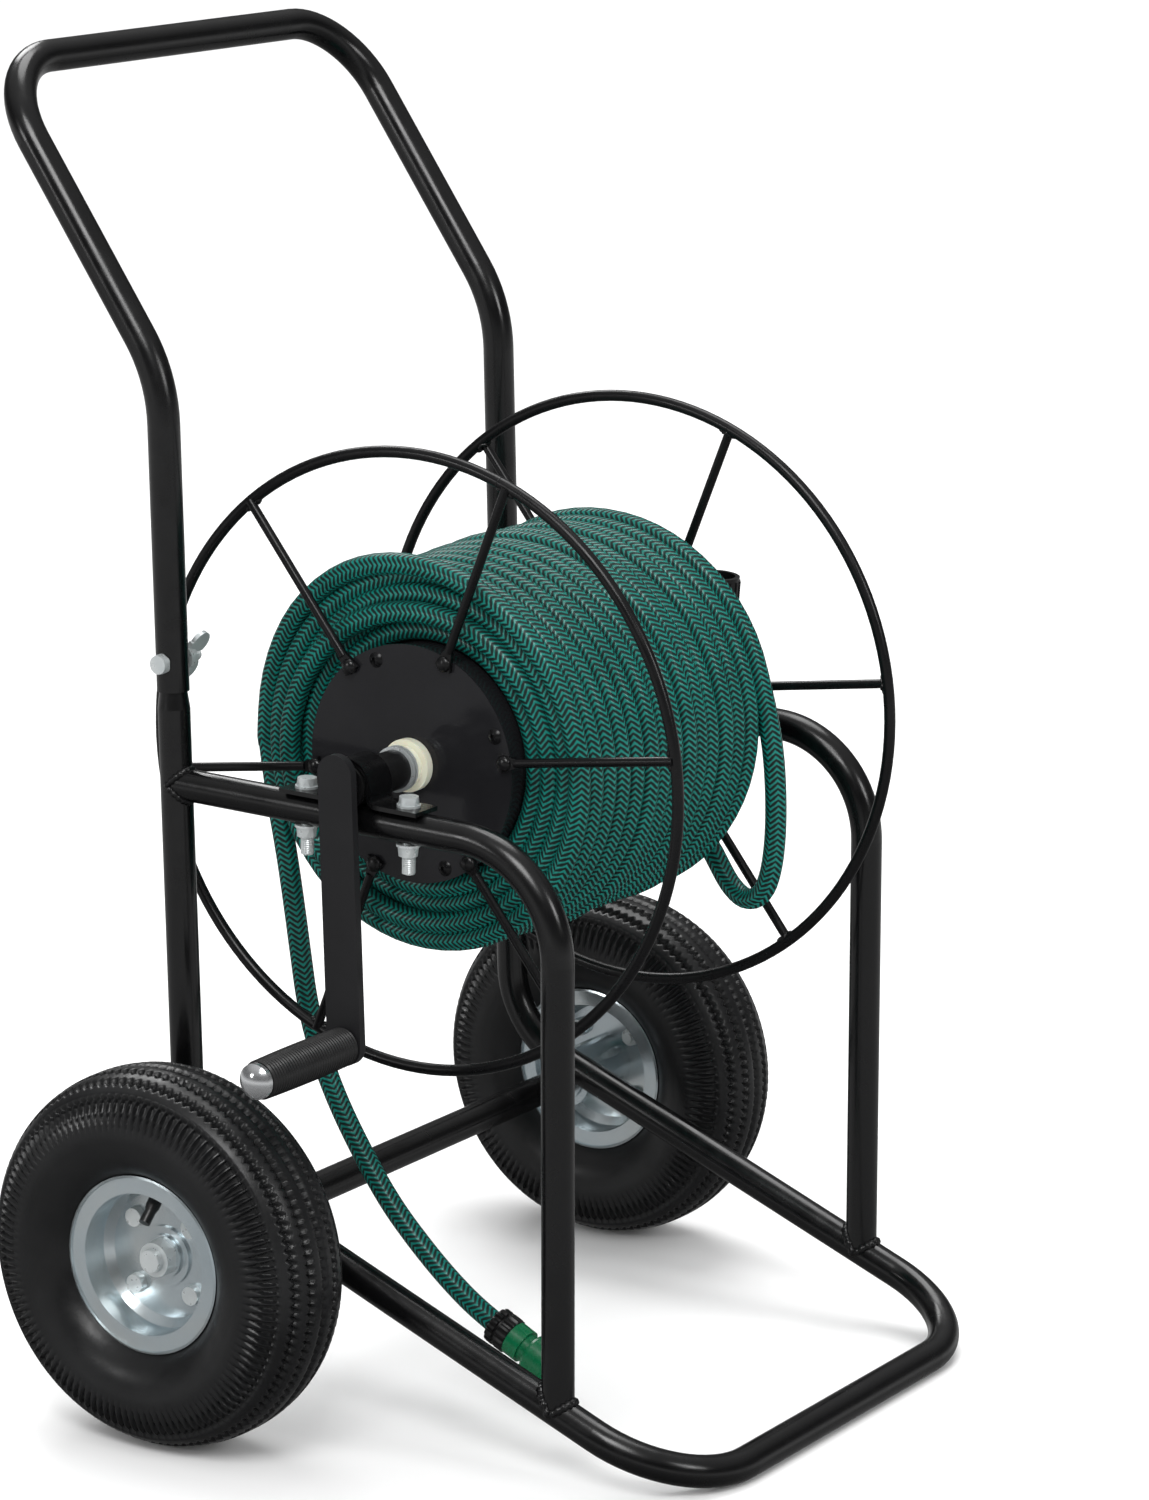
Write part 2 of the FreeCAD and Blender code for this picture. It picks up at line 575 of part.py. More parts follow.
INNER_TUBE_OUTLINE = mirrored([
    (0.0, BEAD_R + 4), (10.0, BEAD_R + 6), (RIM_HALF - TYRE_WALL - 4, side(0.09)),
    (TUBE_SIDE - 7, side(0.29)), (TUBE_SIDE - 5, side(0.54)), (TYRE_HALF * 0.45, side(0.69)),
    (0.0, side(0.765))])[:-1]
INNER_TUBE_AIR = [(x * 0.88, r + INNER_TUBE_SKIN * (1 if r < side(0.36) else -1))
                  for x, r in INNER_TUBE_OUTLINE]
RIM_OUTLINE = [
    (0.0, HUB_R - 1), (RIM_SHEET, HUB_R - 1), (RIM_SHEET, FLAT_R), (7.0, BEAD_R - RIM_SHEET),
    (RIM_HALF, BEAD_R - RIM_SHEET), (RIM_HALF, RIM_R - 2), (RIM_HALF + 1.5, RIM_R - 1.5),
    (RIM_HALF + 1.0, RIM_R), (RIM_HALF - RIM_SHEET, RIM_R - 2), (RIM_HALF - RIM_SHEET, BEAD_R),
    (6.0, BEAD_R), (0.0, FLAT_R + 1.5)]


# ---- reel ----
def reel():
    axle = along_x(REEL_AXLE_R, REEL_AXLE_BORE, ARM_X, REEL_AXLE_END, REEL_Y, REEL_Z)
    angle = math.radians(OUTLET_ANGLE)
    outlet_foot = V(HOSE_R - PACK_HALF, REEL_Y, REEL_Z)
    outlet_top = outlet_foot + V(0, math.sin(angle), math.cos(angle)) * DRUM_R
    save("reel_axle", axle.cut(rod(OUTLET_BORE, outlet_foot, outlet_top)))

    inner_face = FLANGE_X - DISC_SHEET / 2
    drum = along_x(DRUM_R, DRUM_R - DRUM_SHEET, -inner_face, inner_face, REEL_Y, REEL_Z)
    save("drum_sheet", drum.cut(rod(OUTLET_R, outlet_foot, outlet_top)))
    outlet = pipe(OUTLET_R, OUTLET_BORE, outlet_foot, outlet_top)
    save("drum_outlet_pipe", outlet.cut(along_x(REEL_AXLE_R, 0, -FLANGE_X, 0, REEL_Y, REEL_Z)))

    tie = rod(TIE_R, V(-FLANGE_X - 1, 0, TIE_CIRCLE), V(FLANGE_X + 9, 0, TIE_CIRCLE))
    outer_face = inner_face + DISC_SHEET
    head = Part.makeSphere(TIE_HEAD_R, V(-FLANGE_X + TIE_HEAD_R / 2, 0, TIE_CIRCLE))
    keep = Part.makeCylinder(TIE_HEAD_R, 8, V(-outer_face - 8, 0, TIE_CIRCLE), AXIS_X)
    socket = hexagon(4, 3, V(-FLANGE_X - 4.5, 0, TIE_CIRCLE), AXIS_X)
    tie = tie.fuse(head.common(keep)).cut(socket)
    nut = hexagon(TIE_NUT_HEX, TIE_NUT, V(outer_face, 0, TIE_CIRCLE), AXIS_X, TIE_R)
    tie_hole = rod(TIE_R + 0.1, V(-FLANGE_X - 9, 0, TIE_CIRCLE), V(FLANGE_X + 9, 0, TIE_CIRCLE))

    def on_reel(shape, count, first):
        copies = around(shape, count, V(0, 0, 0), -first)
        for copy in copies:
            copy.translate(REEL)
        return copies

    holes = on_reel(tie_hole, TIE_RODS, TIE_ANGLE)
    save("drum_tie_bolts", *on_reel(tie, TIE_RODS, TIE_ANGLE))
    save("drum_tie_nuts", *on_reel(nut, TIE_RODS, TIE_ANGLE))

    thrust, spacers, discs, bushes = [], [], [], []
    for name, sign in SIDES.items():
        x0 = sign * inner_face
        disc = along_x(DISC_R, REEL_AXLE_R, x0, x0 + sign * DISC_SHEET, REEL_Y, REEL_Z)
        for hole in holes:
            disc = disc.cut(hole)
        discs.append(disc)
        wheel_ring = ring(RING_R, WIRE_R, V(sign * FLANGE_X, REEL_Y, REEL_Z))
        save(name + "_flange_ring", wheel_ring)
        save(name + "_flange_spokes", *spoke_set(sign, on_reel))

        at = sign * outer_face
        flange = along_x(NYLON_R, REEL_AXLE_R, at, at + sign * NYLON_FLANGE, REEL_Y, REEL_Z)
        neck_end = at + sign * (NYLON_FLANGE + NYLON_SLEEVE)
        neck = along_x(SPACER_R, REEL_AXLE_R, at, neck_end, REEL_Y, REEL_Z)
        bushes.append(flange.fuse(neck).removeSplitter())
        for x in (neck_end, neck_end + sign * THRUST_PITCH):
            thrust.append(along_x(THRUST_R, REEL_AXLE_R, x, x + sign * THRUST_SHEET, REEL_Y, REEL_Z))
        spacer_start = neck_end + sign * (THRUST_PITCH + THRUST_SHEET)
        spacer_end = sign * (FRAME_HALF - BUSH_LENGTH / 2 - AXLE_SIDE_GAP)
        spacers.append(along_x(SPACER_R, REEL_AXLE_R, spacer_start, spacer_end, REEL_Y, REEL_Z))
    save("drum_discs", *discs)
    save("nylon_bushes", *bushes)
    save("thrust_washers", *thrust)
    save("axle_spacer_sleeves", *spacers)


def spoke_set(sign, on_reel):
    """Spokes with a flattened inner end on the disc's outer face and a coped end on the ring."""
    face = sign * (FLANGE_X + DISC_SHEET / 2)
    x = face + sign * SPOKE_TAB / 2
    shaft = rod(SPOKE_R, V(x, 0, DISC_R + 5), V(x, 0, RING_R))
    fish = Part.makePolygon([V(0, -2.2, DISC_R + 9), V(0, -6.5, DISC_R - 7), V(0, 6.5, DISC_R - 7),
                             V(0, 2.2, DISC_R + 9), V(0, -2.2, DISC_R + 9)])
    tab = Part.Face(fish).extrude(V(sign * SPOKE_TAB, 0, 0))
    tab.translate(V(face, 0, 0))
    spoke = shaft.fuse(tab).cut(ring(RING_R, WIRE_R, V(sign * FLANGE_X, 0, 0)))
    spoke = max(spoke.Solids, key=lambda s: s.Volume)
    return on_reel(spoke, SPOKES, SPOKE_ANGLE)


def crank():
    """Flat arm welded to the axle, with a spindle, a spinning grip and a domed end cap."""
    half = CRANK_ARM_WIDTH / 2
    outer = ARM_X - CRANK_ARM_SHEET
    top, low = CRANK_TOP - half, -CRANK_R
    body = Part.makeBox(CRANK_ARM_SHEET, CRANK_ARM_WIDTH, top - low, V(outer, -half, low))
    ends = [rod(half, V(outer, 0, z), V(ARM_X, 0, z)) for z in (low, top)]
    spindle_hole = rod(SPINDLE_R, V(outer - 5, 0, low), V(ARM_X + 5, 0, low))
    arm = body.fuse(ends).removeSplitter().cut(spindle_hole)

    spindle_end = CAP_OUT + SPINDLE_SINK
    spindle = rod(SPINDLE_R, V(ARM_X, 0, low), V(spindle_end, 0, low))
    pitch = GRIP_LENGTH / GRIP_RIBS
    outline = [(GRIP_IN, SPINDLE_R + GRIP_PLAY), (GRIP_IN, GRIP_R - 1)]
    for i in range(GRIP_RIBS):
        middle = GRIP_IN - (i + 0.5) * pitch
        swell = GRIP_SWELL * math.cos(math.pi * ((i + 0.5) / GRIP_RIBS - 0.5))
        outline.append((middle + pitch * 0.3, GRIP_R - RIB_HEIGHT + swell))
        outline.append((middle, GRIP_R + swell))
        outline.append((middle - pitch * 0.3, GRIP_R - RIB_HEIGHT + swell))
    outline += [(GRIP_OUT, GRIP_R - 1), (GRIP_OUT, SPINDLE_R + GRIP_PLAY)]
    grip = revolve_x(outline, V(0, 0, low))
    dome = Part.makeSphere(CAP_DOME_R, V(CAP_OUT + CAP_DOME_R, 0, low))
    cap = dome.common(rod(CAP_R, V(CAP_OUT - 1, 0, low), V(GRIP_OUT - GRIP_GAP, 0, low)))
    cap = cap.cut(rod(SPINDLE_R, V(spindle_end, 0, low), V(GRIP_OUT, 0, low)))
    for name, shape in {"crank_arm": arm, "grip_spindle": spindle, "hand_grip": grip,
                        "grip_end_cap": cap}.items():
        shape.translate(REEL)
        save(name, turned(shape, CRANK_ANGLE, REEL))


# ---- water inlet on the far end of the reel axle ----
def inlet():
    collar = REEL_AXLE_END + NIPPLE_COLLAR
    near = collar + HOUSING_GAP
    stub = near + HOUSING_LENGTH - 6
    start = REEL_AXLE_END - NIPPLE_SINK
    nipple = along_x(REEL_AXLE_BORE, NIPPLE_BORE, start, REEL_AXLE_END, REEL_Y, REEL_Z)
    nipple = nipple.fuse(along_x(REEL_AXLE_R, NIPPLE_BORE, REEL_AXLE_END, collar, REEL_Y, REEL_Z))
    journal = along_x(NIPPLE_R, NIPPLE_BORE, collar, stub, REEL_Y, REEL_Z)
    seal_r = NIPPLE_R - SEAL_WIRE
    groove_r = seal_r - SEAL_WIRE - 0.1
    seals = []
    for x in (collar + at for at in SEAL_AT):
        journal = journal.cut(along_x(NIPPLE_R + 1, groove_r, x - 1.2, x + 1.2, REEL_Y, REEL_Z))
        seals.append(ring(seal_r, SEAL_WIRE, V(x, REEL_Y, REEL_Z)))
    save("swivel_nipple", nipple.fuse(journal).removeSplitter())
    save("swivel_seals", *seals)

    body = along_x(HOUSING_R, 0, near, near + HOUSING_LENGTH, REEL_Y, REEL_Z)
    body = body.cut(along_x(NIPPLE_R + HOUSING_PLAY, 0, near, stub + 1.5, REEL_Y, REEL_Z))
    middle_x = near + HOUSING_LENGTH - RISER_R
    foot, up = V(middle_x, 0, 0), V(0, 0, 1)
    sleeve_base = foot + up * (INLET_RISE - INLET_HEIGHT)
    riser = pipe(RISER_R, RISER_BORE, foot, sleeve_base)
    riser = riser.cut(along_x(HOUSING_R, 0, near, near + HOUSING_LENGTH))
    water = rod(RISER_BORE, foot, foot + up * (HOUSING_R + 2))
    water.translate(REEL)
    body = body.cut(turned(water, INLET_LEAN, REEL))
    nut = hexagon(AXLE_NUT_HEX, LOCK_NUT, sleeve_base - up * LOCK_NUT, up, RISER_R)
    save("swivel_housing", body)
    for name, shape in {"inlet_riser": riser, "inlet_lock_nut": nut,
                        "inlet_connector": ribbed_sleeve(sleeve_base, up)}.items():
        shape.translate(REEL)
        save(name, turned(shape, INLET_LEAN, REEL))


def ribbed_sleeve(base, up):
    """Female screw end with finger ribs, open upwards."""
    outer = INLET_THREAD_R + INLET_WALL
    solid = Part.makeCylinder(outer, INLET_HEIGHT, base, up)
    solid = solid.cut(Part.makeCylinder(INLET_THREAD_R, INLET_HEIGHT, base + up * INLET_FLOOR, up))
    solid = solid.cut(Part.makeCylinder(RISER_BORE, INLET_HEIGHT, base, up))
    ribs = []
    for i in range(INLET_RIBS):
        rib = Part.makeCylinder(1.1, INLET_HEIGHT - 6, base + V(outer, 0, 3), up)
        rib.rotate(base, up, i * 360.0 / INLET_RIBS)
        ribs.append(rib)
    return solid.fuse(ribs).removeSplitter()


# ---- hose ----
def hose():
    save("hose_pack", along_x(PACK_R, DRUM_R + PACK_GAP, -PACK_HALF, PACK_HALF, REEL_Y, REEL_Z))
    save("hose_slack_loop", cord_tube("loop", LOOP))
    save("hose_tail", cord_tube("tail", TAIL))

    end, before = V(*TAIL[-1]), V(*TAIL[-2])
    out = (end - before).normalize()

    def turned_piece(profile):
        face = Part.Face(Part.makePolygon([V(r, 0, z) for z, r in profile + profile[:1]]))
        solid = face.revolve(V(0, 0, 0), V(0, 0, 1), 360)
        solid = aim(solid, out)
        solid.translate(end)
        return solid

    back, nut_end = -COLLAR_GRIP, COLLAR_LENGTH - COLLAR_GRIP
    bore = HOSE_R + COLLAR_PLAY
    nut = turned_piece([(back, bore), (back, COLLAR_R - 1.5), (back + 2, COLLAR_R),
                        (nut_end, COLLAR_R), (nut_end, bore)])
    save("hose_collar_nut", nut)
    neck, shoulder = CONNECTOR_R - 1, nut_end + CONNECTOR_SHOULDER
    body = turned_piece([(0.2, SOCKET_R - 2), (0.2, HOSE_R), (nut_end, HOSE_R), (nut_end, CONNECTOR_R + 1),
                         (shoulder, CONNECTOR_R + 1), (shoulder, neck), (CONNECTOR_LENGTH, neck),
                         (CONNECTOR_LENGTH, SOCKET_R), (shoulder, SOCKET_R), (shoulder, SOCKET_R - 2)])
    save("quick_connector_body", body)
    bore = neck + SLEEVE_PLAY
    start = CONNECTOR_LENGTH - SLEEVE_LENGTH + 1
    sleeve = turned_piece([(start, bore), (start, SLEEVE_R - 1), (start + 2, SLEEVE_R),
                           (start + SLEEVE_LENGTH - 2, SLEEVE_R),
                           (start + SLEEVE_LENGTH, SLEEVE_R - 2), (start + SLEEVE_LENGTH, bore)])
    save("quick_connector_sleeve", sleeve)
    print("connector axis", [round(c, 4) for c in out], "sleeve from", round(start, 2),
          "shoulder", shoulder, "end", [round(c, 2) for c in end])


os.makedirs("parts", exist_ok=True)
frame_tubes()
handle()
bearings()
wheels()
reel()
crank()
inlet()
hose()
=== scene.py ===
import math

import bpy
import numpy as np
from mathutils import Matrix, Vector


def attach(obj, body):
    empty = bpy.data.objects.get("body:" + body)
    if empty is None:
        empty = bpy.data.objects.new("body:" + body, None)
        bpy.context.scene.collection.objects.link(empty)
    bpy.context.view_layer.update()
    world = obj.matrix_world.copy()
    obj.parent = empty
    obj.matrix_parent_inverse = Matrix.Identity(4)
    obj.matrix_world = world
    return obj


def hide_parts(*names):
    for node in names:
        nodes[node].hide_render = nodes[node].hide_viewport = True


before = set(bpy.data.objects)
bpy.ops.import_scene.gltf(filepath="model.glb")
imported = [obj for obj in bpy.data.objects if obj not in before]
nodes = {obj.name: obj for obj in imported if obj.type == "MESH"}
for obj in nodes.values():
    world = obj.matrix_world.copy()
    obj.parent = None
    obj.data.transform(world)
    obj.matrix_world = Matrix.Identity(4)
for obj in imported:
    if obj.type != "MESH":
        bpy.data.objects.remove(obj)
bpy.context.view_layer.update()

scene = bpy.context.scene

# Sizes are in millimetres about the cart's own datum: the floor under the middle of the wheel axle.
# place() turns them into metres in the frame that the model was packed in.
datum = np.array([6.25, 88.0, 0.0])
axle = np.array([1.0, 0.0, 0.0])
straightUp = np.array([0.0, 0.0, 1.0])
sides = {"left": -1.0, "right": 1.0}
fullTurn = 2.0 * np.pi


def place(points):
    return (np.asarray(points, float) + datum) / 1000.0


def unit(vectors):
    return vectors / np.linalg.norm(vectors, axis=-1, keepdims=True)


# 0 to 1 with level ends: 3 share^2 - 2 share^3.
def smoothStep(share):
    share = np.clip(share, 0.0, 1.0)
    return share * share * (3.0 - 2.0 * share)


# Evenly spaced angles of one full turn.
def roundAngles(count):
    return np.linspace(0.0, fullTurn, count, endpoint=False)


# Part of the given direction that is square to the line, made a unit vector.
def squareTo(direction, along):
    return unit(direction - (along @ direction)[..., None] * along)


# Rings round a path, given two directions square to it:
# point = path + size * (cos(angle) * first + sin(angle) * second).
def sweptRings(path, first, second, size, count):
    angle = roundAngles(count)[None, :, None]
    spread = np.cos(angle) * first[:, None] + np.sin(angle) * second[:, None]
    return path[:, None] + size[:, None, None] * spread


# Rings round a path: point = path + radius * (cos(angle) * sideways + sin(angle) * upward), where
# sideways is the axle's direction made square to the path. The angle runs right-handed about the path.
def ringsAlong(path, radius, count):
    along = unit(np.gradient(path, axis=0))
    sideways = squareTo(axle, along)
    return sweptRings(path, sideways, np.cross(along, sideways), np.full(len(path), radius), count)


# Rings turned about a line: the outline is (distance along the line, radius), one ring for each, and the
# relief is added to the radius.
def turnedRings(base, direction, outline, count, relief=0.0):
    outline = np.asarray(outline, float)
    direction = unit(np.asarray(direction, float))
    sideways = squareTo(straightUp, direction)
    upward = np.cross(direction, sideways)
    angle = roundAngles(count)[None, :, None]
    radius = (outline[:, 1:2] + np.broadcast_to(relief, (len(outline), count)))[..., None]
    spread = np.cos(angle) * sideways + np.sin(angle) * upward
    return np.asarray(base, float) + outline[:, 0, None, None] * direction + radius * spread


# One mesh from several grids of rings. Each grid is (rings, looped): four-sided faces join ring to ring
# and close round each ring, and the two end rings are filled unless the grid is looped. Edges past the
# sharp angle aren't smoothed. Lengths gives each grid's distance along the hose, for its UV map.
def gridMesh(name, grids, sharp, lengths=None):
    points, faces, corners, start = [], [], [], 0
    for index, (rings, looped) in enumerate(grids):
        count, around = rings.shape[:2]
        row = np.arange(count if looped else count - 1)[:, None]
        column = np.arange(around)[None, :]
        nextRow, nextColumn = (row + 1) % count, (column + 1) % around
        quads = np.stack(np.broadcast_arrays(row * around + column, row * around + nextColumn,
                                             nextRow * around + nextColumn, nextRow * around + column), -1)
        faces += (quads.reshape(-1, 4) + start).tolist()
        if lengths is not None:
            run = lengths[index]
            u = np.stack(np.broadcast_arrays(column, column + 1, column + 1, column), -1) / around
            v = np.stack([run[row], run[row], run[nextRow], run[nextRow]], -1)
            u, v = np.broadcast_arrays(u, v)
            corners.append(np.stack([u, v], -1).reshape(-1, 2))
        if not looped:
            faces.append((np.arange(around)[::-1] + start).tolist())
            faces.append((np.arange(around) + start + (count - 1) * around).tolist())
            corners.append(np.zeros((2 * around, 2)))
        points.append(rings.reshape(-1, 3))
        start += count * around
    mesh = bpy.data.meshes.new(name)
    mesh.from_pydata(place(np.concatenate(points)).tolist(), [], faces)
    if lengths is not None:
        layer = mesh.uv_layers.new(name="alongHose")
        layer.data.foreach_set("uv", np.concatenate(corners).ravel())
    mesh.polygons.foreach_set("use_smooth", np.ones(len(mesh.polygons), bool))
    mesh.set_sharp_from_angle(angle=math.radians(sharp))
    mesh.update()
    return mesh


# Rounded lump: an ellipsoid of rings about a direction, with radius = wide * sin(angle) and
# height = tall * cos(angle).
def lump(centre, direction, wide, tall, around=14, rings=8):
    tip = 0.06                                        # angle left at each pole for the face that closes it
    angle = np.linspace(tip, np.pi - tip, rings)
    outline = np.stack([-tall * np.cos(angle), wide * np.sin(angle)], -1)
    return turnedRings(centre, direction, outline, around), False


def addPiece(name, mesh, body, material, replaced=()):
    piece = bpy.data.objects.new(name, mesh)
    scene.collection.objects.link(piece)
    mesh.materials.append(material)
    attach(piece, body)
    if replaced:
        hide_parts(*replaced)
    return piece


# Small helpers for shader nodes. A socket given as an input is linked, anything else is set on the node.
def addNode(tree, kind, inputs=None, **settings):
    made = tree.nodes.new(kind)
    for key, value in settings.items():
        setattr(made, key, value)
    for key, value in (inputs or {}).items():
        if isinstance(value, bpy.types.NodeSocket):
            tree.links.new(value, made.inputs[key])
        else:
            made.inputs[key].default_value = value
    return made


def mathNode(tree, operation, first, second=0.0):
    return addNode(tree, "ShaderNodeMath", {0: first, 1: second}, operation=operation).outputs[0]


def colourRamp(tree, factor, stops):
    made = addNode(tree, "ShaderNodeValToRGB", {"Fac": factor})
    elements = made.color_ramp.elements
    for _ in range(len(stops) - 2):
        elements.new(0.5)
    for element, (where, colour) in zip(elements, stops):
        element.position = where
        element.color = (*colour, 1.0)
    return made.outputs["Color"]


def noiseNode(tree, scale, detail):
    where = addNode(tree, "ShaderNodeTexCoord").outputs["Object"]
    noise = addNode(tree, "ShaderNodeTexNoise", {"Vector": where, "Scale": scale, "Detail": detail})
    return noise.outputs["Fac"]


def startMaterial(name):
    material = bpy.data.materials.new(name)
    material.use_nodes = True
    return material, material.node_tree, material.node_tree.nodes["Principled BSDF"]


# Links colour, roughness and bump. Roughness goes from rough[0] to rough[1] as the value crosses its span.
def dressShader(tree, shader, colour, value, span, rough, height, bump, depth):
    tree.links.new(colour, shader.inputs["Base Color"])
    spread = addNode(tree, "ShaderNodeMapRange", {"Value": value, "From Min": span[0], "From Max": span[1],
                                                  "To Min": rough[0], "To Max": rough[1]})
    tree.links.new(spread.outputs[0], shader.inputs["Roughness"])
    raised = addNode(tree, "ShaderNodeBump", {"Height": height, "Strength": bump, "Distance": depth})
    tree.links.new(raised.outputs[0], shader.inputs["Normal"])


# A finish is colour between tones by broad noise, roughness between two values by finer noise, and a bump
# from the finest noise. Patch and grain are noise scales per metre. The rest goes straight on the shader.
noiseSpan = (0.3, 0.7)                                # where noise mostly lies between 0 and 1
finerBy = 7.0                                         # roughness noise's scale to the colour noise's
noiseDetail = {"colour": 4.0, "roughness": 3.0, "bump": 2.0}


def makeFinish(name, tones, rough, patch=9.0, grain=420.0, bump=0.05, depth=0.0004, **shaderValues):
    material, tree, shader = startMaterial(name)
    broad = noiseNode(tree, patch, noiseDetail["colour"])
    fine = noiseNode(tree, patch * finerBy, noiseDetail["roughness"])
    finest = noiseNode(tree, grain, noiseDetail["bump"])
    colour = colourRamp(tree, broad, list(zip(np.linspace(*noiseSpan, len(tones)), tones)))
    dressShader(tree, shader, colour, fine, noiseSpan, rough, finest, bump, depth)
    for key, value in shaderValues.items():
        shader.inputs[key.replace("_", " ")].default_value = value
    return material


finishes = {
    "frameBlack": makeFinish(
        "frameBlackGloss", [(0.0012, 0.0012, 0.0014), (0.0026, 0.0026, 0.0029)], (0.17, 0.29),
        grain=700.0, bump=0.05, Specular_IOR_Level=0.5),
    "wireBlack": makeFinish(
        "wireBlackGloss", [(0.002, 0.002, 0.0023), (0.004, 0.004, 0.0045)], (0.22, 0.34),
        grain=900.0, bump=0.08, Specular_IOR_Level=0.32),
    "discBlack": makeFinish(
        "discBlackMirror", [(0.0085, 0.0085, 0.0096), (0.0125, 0.0125, 0.0138)], (0.06, 0.14),
        patch=14.0, grain=500.0, bump=0.1, Specular_IOR_Level=0.2),
    "armBlack": makeFinish(
        "crankArmSatin", [(0.008, 0.008, 0.0088), (0.0125, 0.0125, 0.0135)], (0.34, 0.5),
        grain=900.0, bump=0.12, Specular_IOR_Level=0.18),
    "weldBlack": makeFinish(
        "weldBlackPaint", [(0.0018, 0.0018, 0.002), (0.005, 0.005, 0.0055)], (0.2, 0.38),
        grain=500.0, bump=0.25, Specular_IOR_Level=0.4),
    "zinc": makeFinish(
        "zincPlated", [(0.50, 0.58, 0.62), (0.60, 0.67, 0.70), (0.64, 0.67, 0.66)], (0.17, 0.26),
        patch=12.0, grain=380.0, bump=0.015, Metallic=0.88),
    "boltZinc": makeFinish(
        "boltZinc", [(0.50, 0.54, 0.55), (0.64, 0.67, 0.67)], (0.26, 0.38),
        patch=40.0, grain=600.0, bump=0.03, Metallic=0.6),
    "chrome": makeFinish(
        "chromeCap", [(0.68, 0.70, 0.72), (0.76, 0.77, 0.78)], (0.12, 0.2),
        grain=300.0, bump=0.01, Metallic=0.92),
    "tyre": makeFinish(
        "tyreRubber", [(0.0045, 0.0046, 0.005), (0.009, 0.0092, 0.0098)], (0.28, 0.42),
        patch=14.0, grain=520.0, bump=0.14, Specular_IOR_Level=0.36),
    "butyl": makeFinish(
        "innerTubeButyl", [(0.012, 0.012, 0.012), (0.02, 0.02, 0.02)], (0.55, 0.7)),
    "rubber": makeFinish(
        "gripRubber", [(0.003, 0.003, 0.0032), (0.008, 0.008, 0.0082)], (0.3, 0.42),
        grain=650.0, bump=0.1, Specular_IOR_Level=0.6),
    "plastic": makeFinish(
        "blackPlastic", [(0.0025, 0.0025, 0.0028), (0.006, 0.006, 0.0062)], (0.28, 0.42),
        grain=520.0, bump=0.08, Specular_IOR_Level=0.35),
    "nylon": makeFinish(
        "creamNylon", [(0.62, 0.58, 0.45), (0.72, 0.69, 0.57)], (0.3, 0.45),
        patch=30.0, bump=0.06, Subsurface_Weight=0.15),
    "brass": makeFinish(
        "brassFitting", [(0.50, 0.33, 0.11), (0.66, 0.47, 0.19)], (0.22, 0.38),
        patch=30.0, bump=0.05, Metallic=1.0),
    "greenPlastic": makeFinish(
        "greenConnector", [(0.0, 0.095, 0.034), (0.001, 0.115, 0.043)], (0.2, 0.33),
        patch=30.0, bump=0.05, Subsurface_Weight=0.1),
}

yarn = {
    "columns": 4.0, "pitch": 0.004, "slant": 2.3,     # columns round the hose, metres per stitch
    "edge": 0.14,                                     # how much lighter each column's middle and sides are, as painted highlight
    "patch": 38.0, "patchDetail": 3.0, "patchShare": 0.35,   # uneven tone along the hose
    # gap tone is painted shade between the stitches, middle tone the yarn's own teal, bright tone painted
    # highlight on the stitch crests
    "tones": [(0.2, (0.0004, 0.013, 0.0112)), (0.52, (0.0007, 0.033, 0.028)), (0.84, (0.006, 0.155, 0.127))],
    "span": (0.25, 0.8), "rough": (0.66, 0.25), "bump": 0.4, "depth": 0.0004,
    "shader": {"Specular IOR Level": 0.3, "Coat Weight": 0.1, "Coat Roughness": 0.18, "Coat IOR": 1.5},
}


# Woven yarn under clear hose skin: columns of stitches round the hose, each slanting up to its middle and
# down again, so that the stripe's phase is length / pitch + slant * distance from the column's middle.
def makeHoseFinish(name):
    material, tree, shader = startMaterial(name)
    where = addNode(tree, "ShaderNodeUVMap", uv_map="alongHose").outputs[0]
    split = addNode(tree, "ShaderNodeSeparateXYZ", {0: where})
    column = mathNode(tree, "FRACT", mathNode(tree, "MULTIPLY", split.outputs[0], yarn["columns"]))
    off = mathNode(tree, "ABSOLUTE", mathNode(tree, "SUBTRACT", column, 0.5))
    phase = mathNode(tree, "ADD", mathNode(tree, "DIVIDE", split.outputs[1], yarn["pitch"]),
                     mathNode(tree, "MULTIPLY", off, yarn["slant"]))
    stripe = mathNode(tree, "SINE", mathNode(tree, "MULTIPLY", phase, fullTurn))
    stitch = mathNode(tree, "ADD", mathNode(tree, "MULTIPLY", stripe, 0.5), 0.5)
    wave = mathNode(tree, "COSINE", mathNode(tree, "MULTIPLY", off, 2.0 * fullTurn))
    stitch = mathNode(tree, "ADD", stitch, mathNode(tree, "MULTIPLY", wave, yarn["edge"]))
    patchy = mathNode(tree, "SUBTRACT", noiseNode(tree, yarn["patch"], yarn["patchDetail"]), 0.5)
    stitch = mathNode(tree, "ADD", stitch, mathNode(tree, "MULTIPLY", patchy, yarn["patchShare"]))
    # The ramp paints light into the yarn: painted shade in the gaps between stitches, painted highlight on
    # their crests, the yarn's own teal between.
    colour = colourRamp(tree, stitch, yarn["tones"])
    dressShader(tree, shader, colour, stitch, yarn["span"], yarn["rough"],
                stitch, yarn["bump"], yarn["depth"])
    for key, value in yarn["shader"].items():
        shader.inputs[key].default_value = value
    return material


finishes["hose"] = makeHoseFinish("greenHoseYarn")
print("finishes made:", len(finishes))

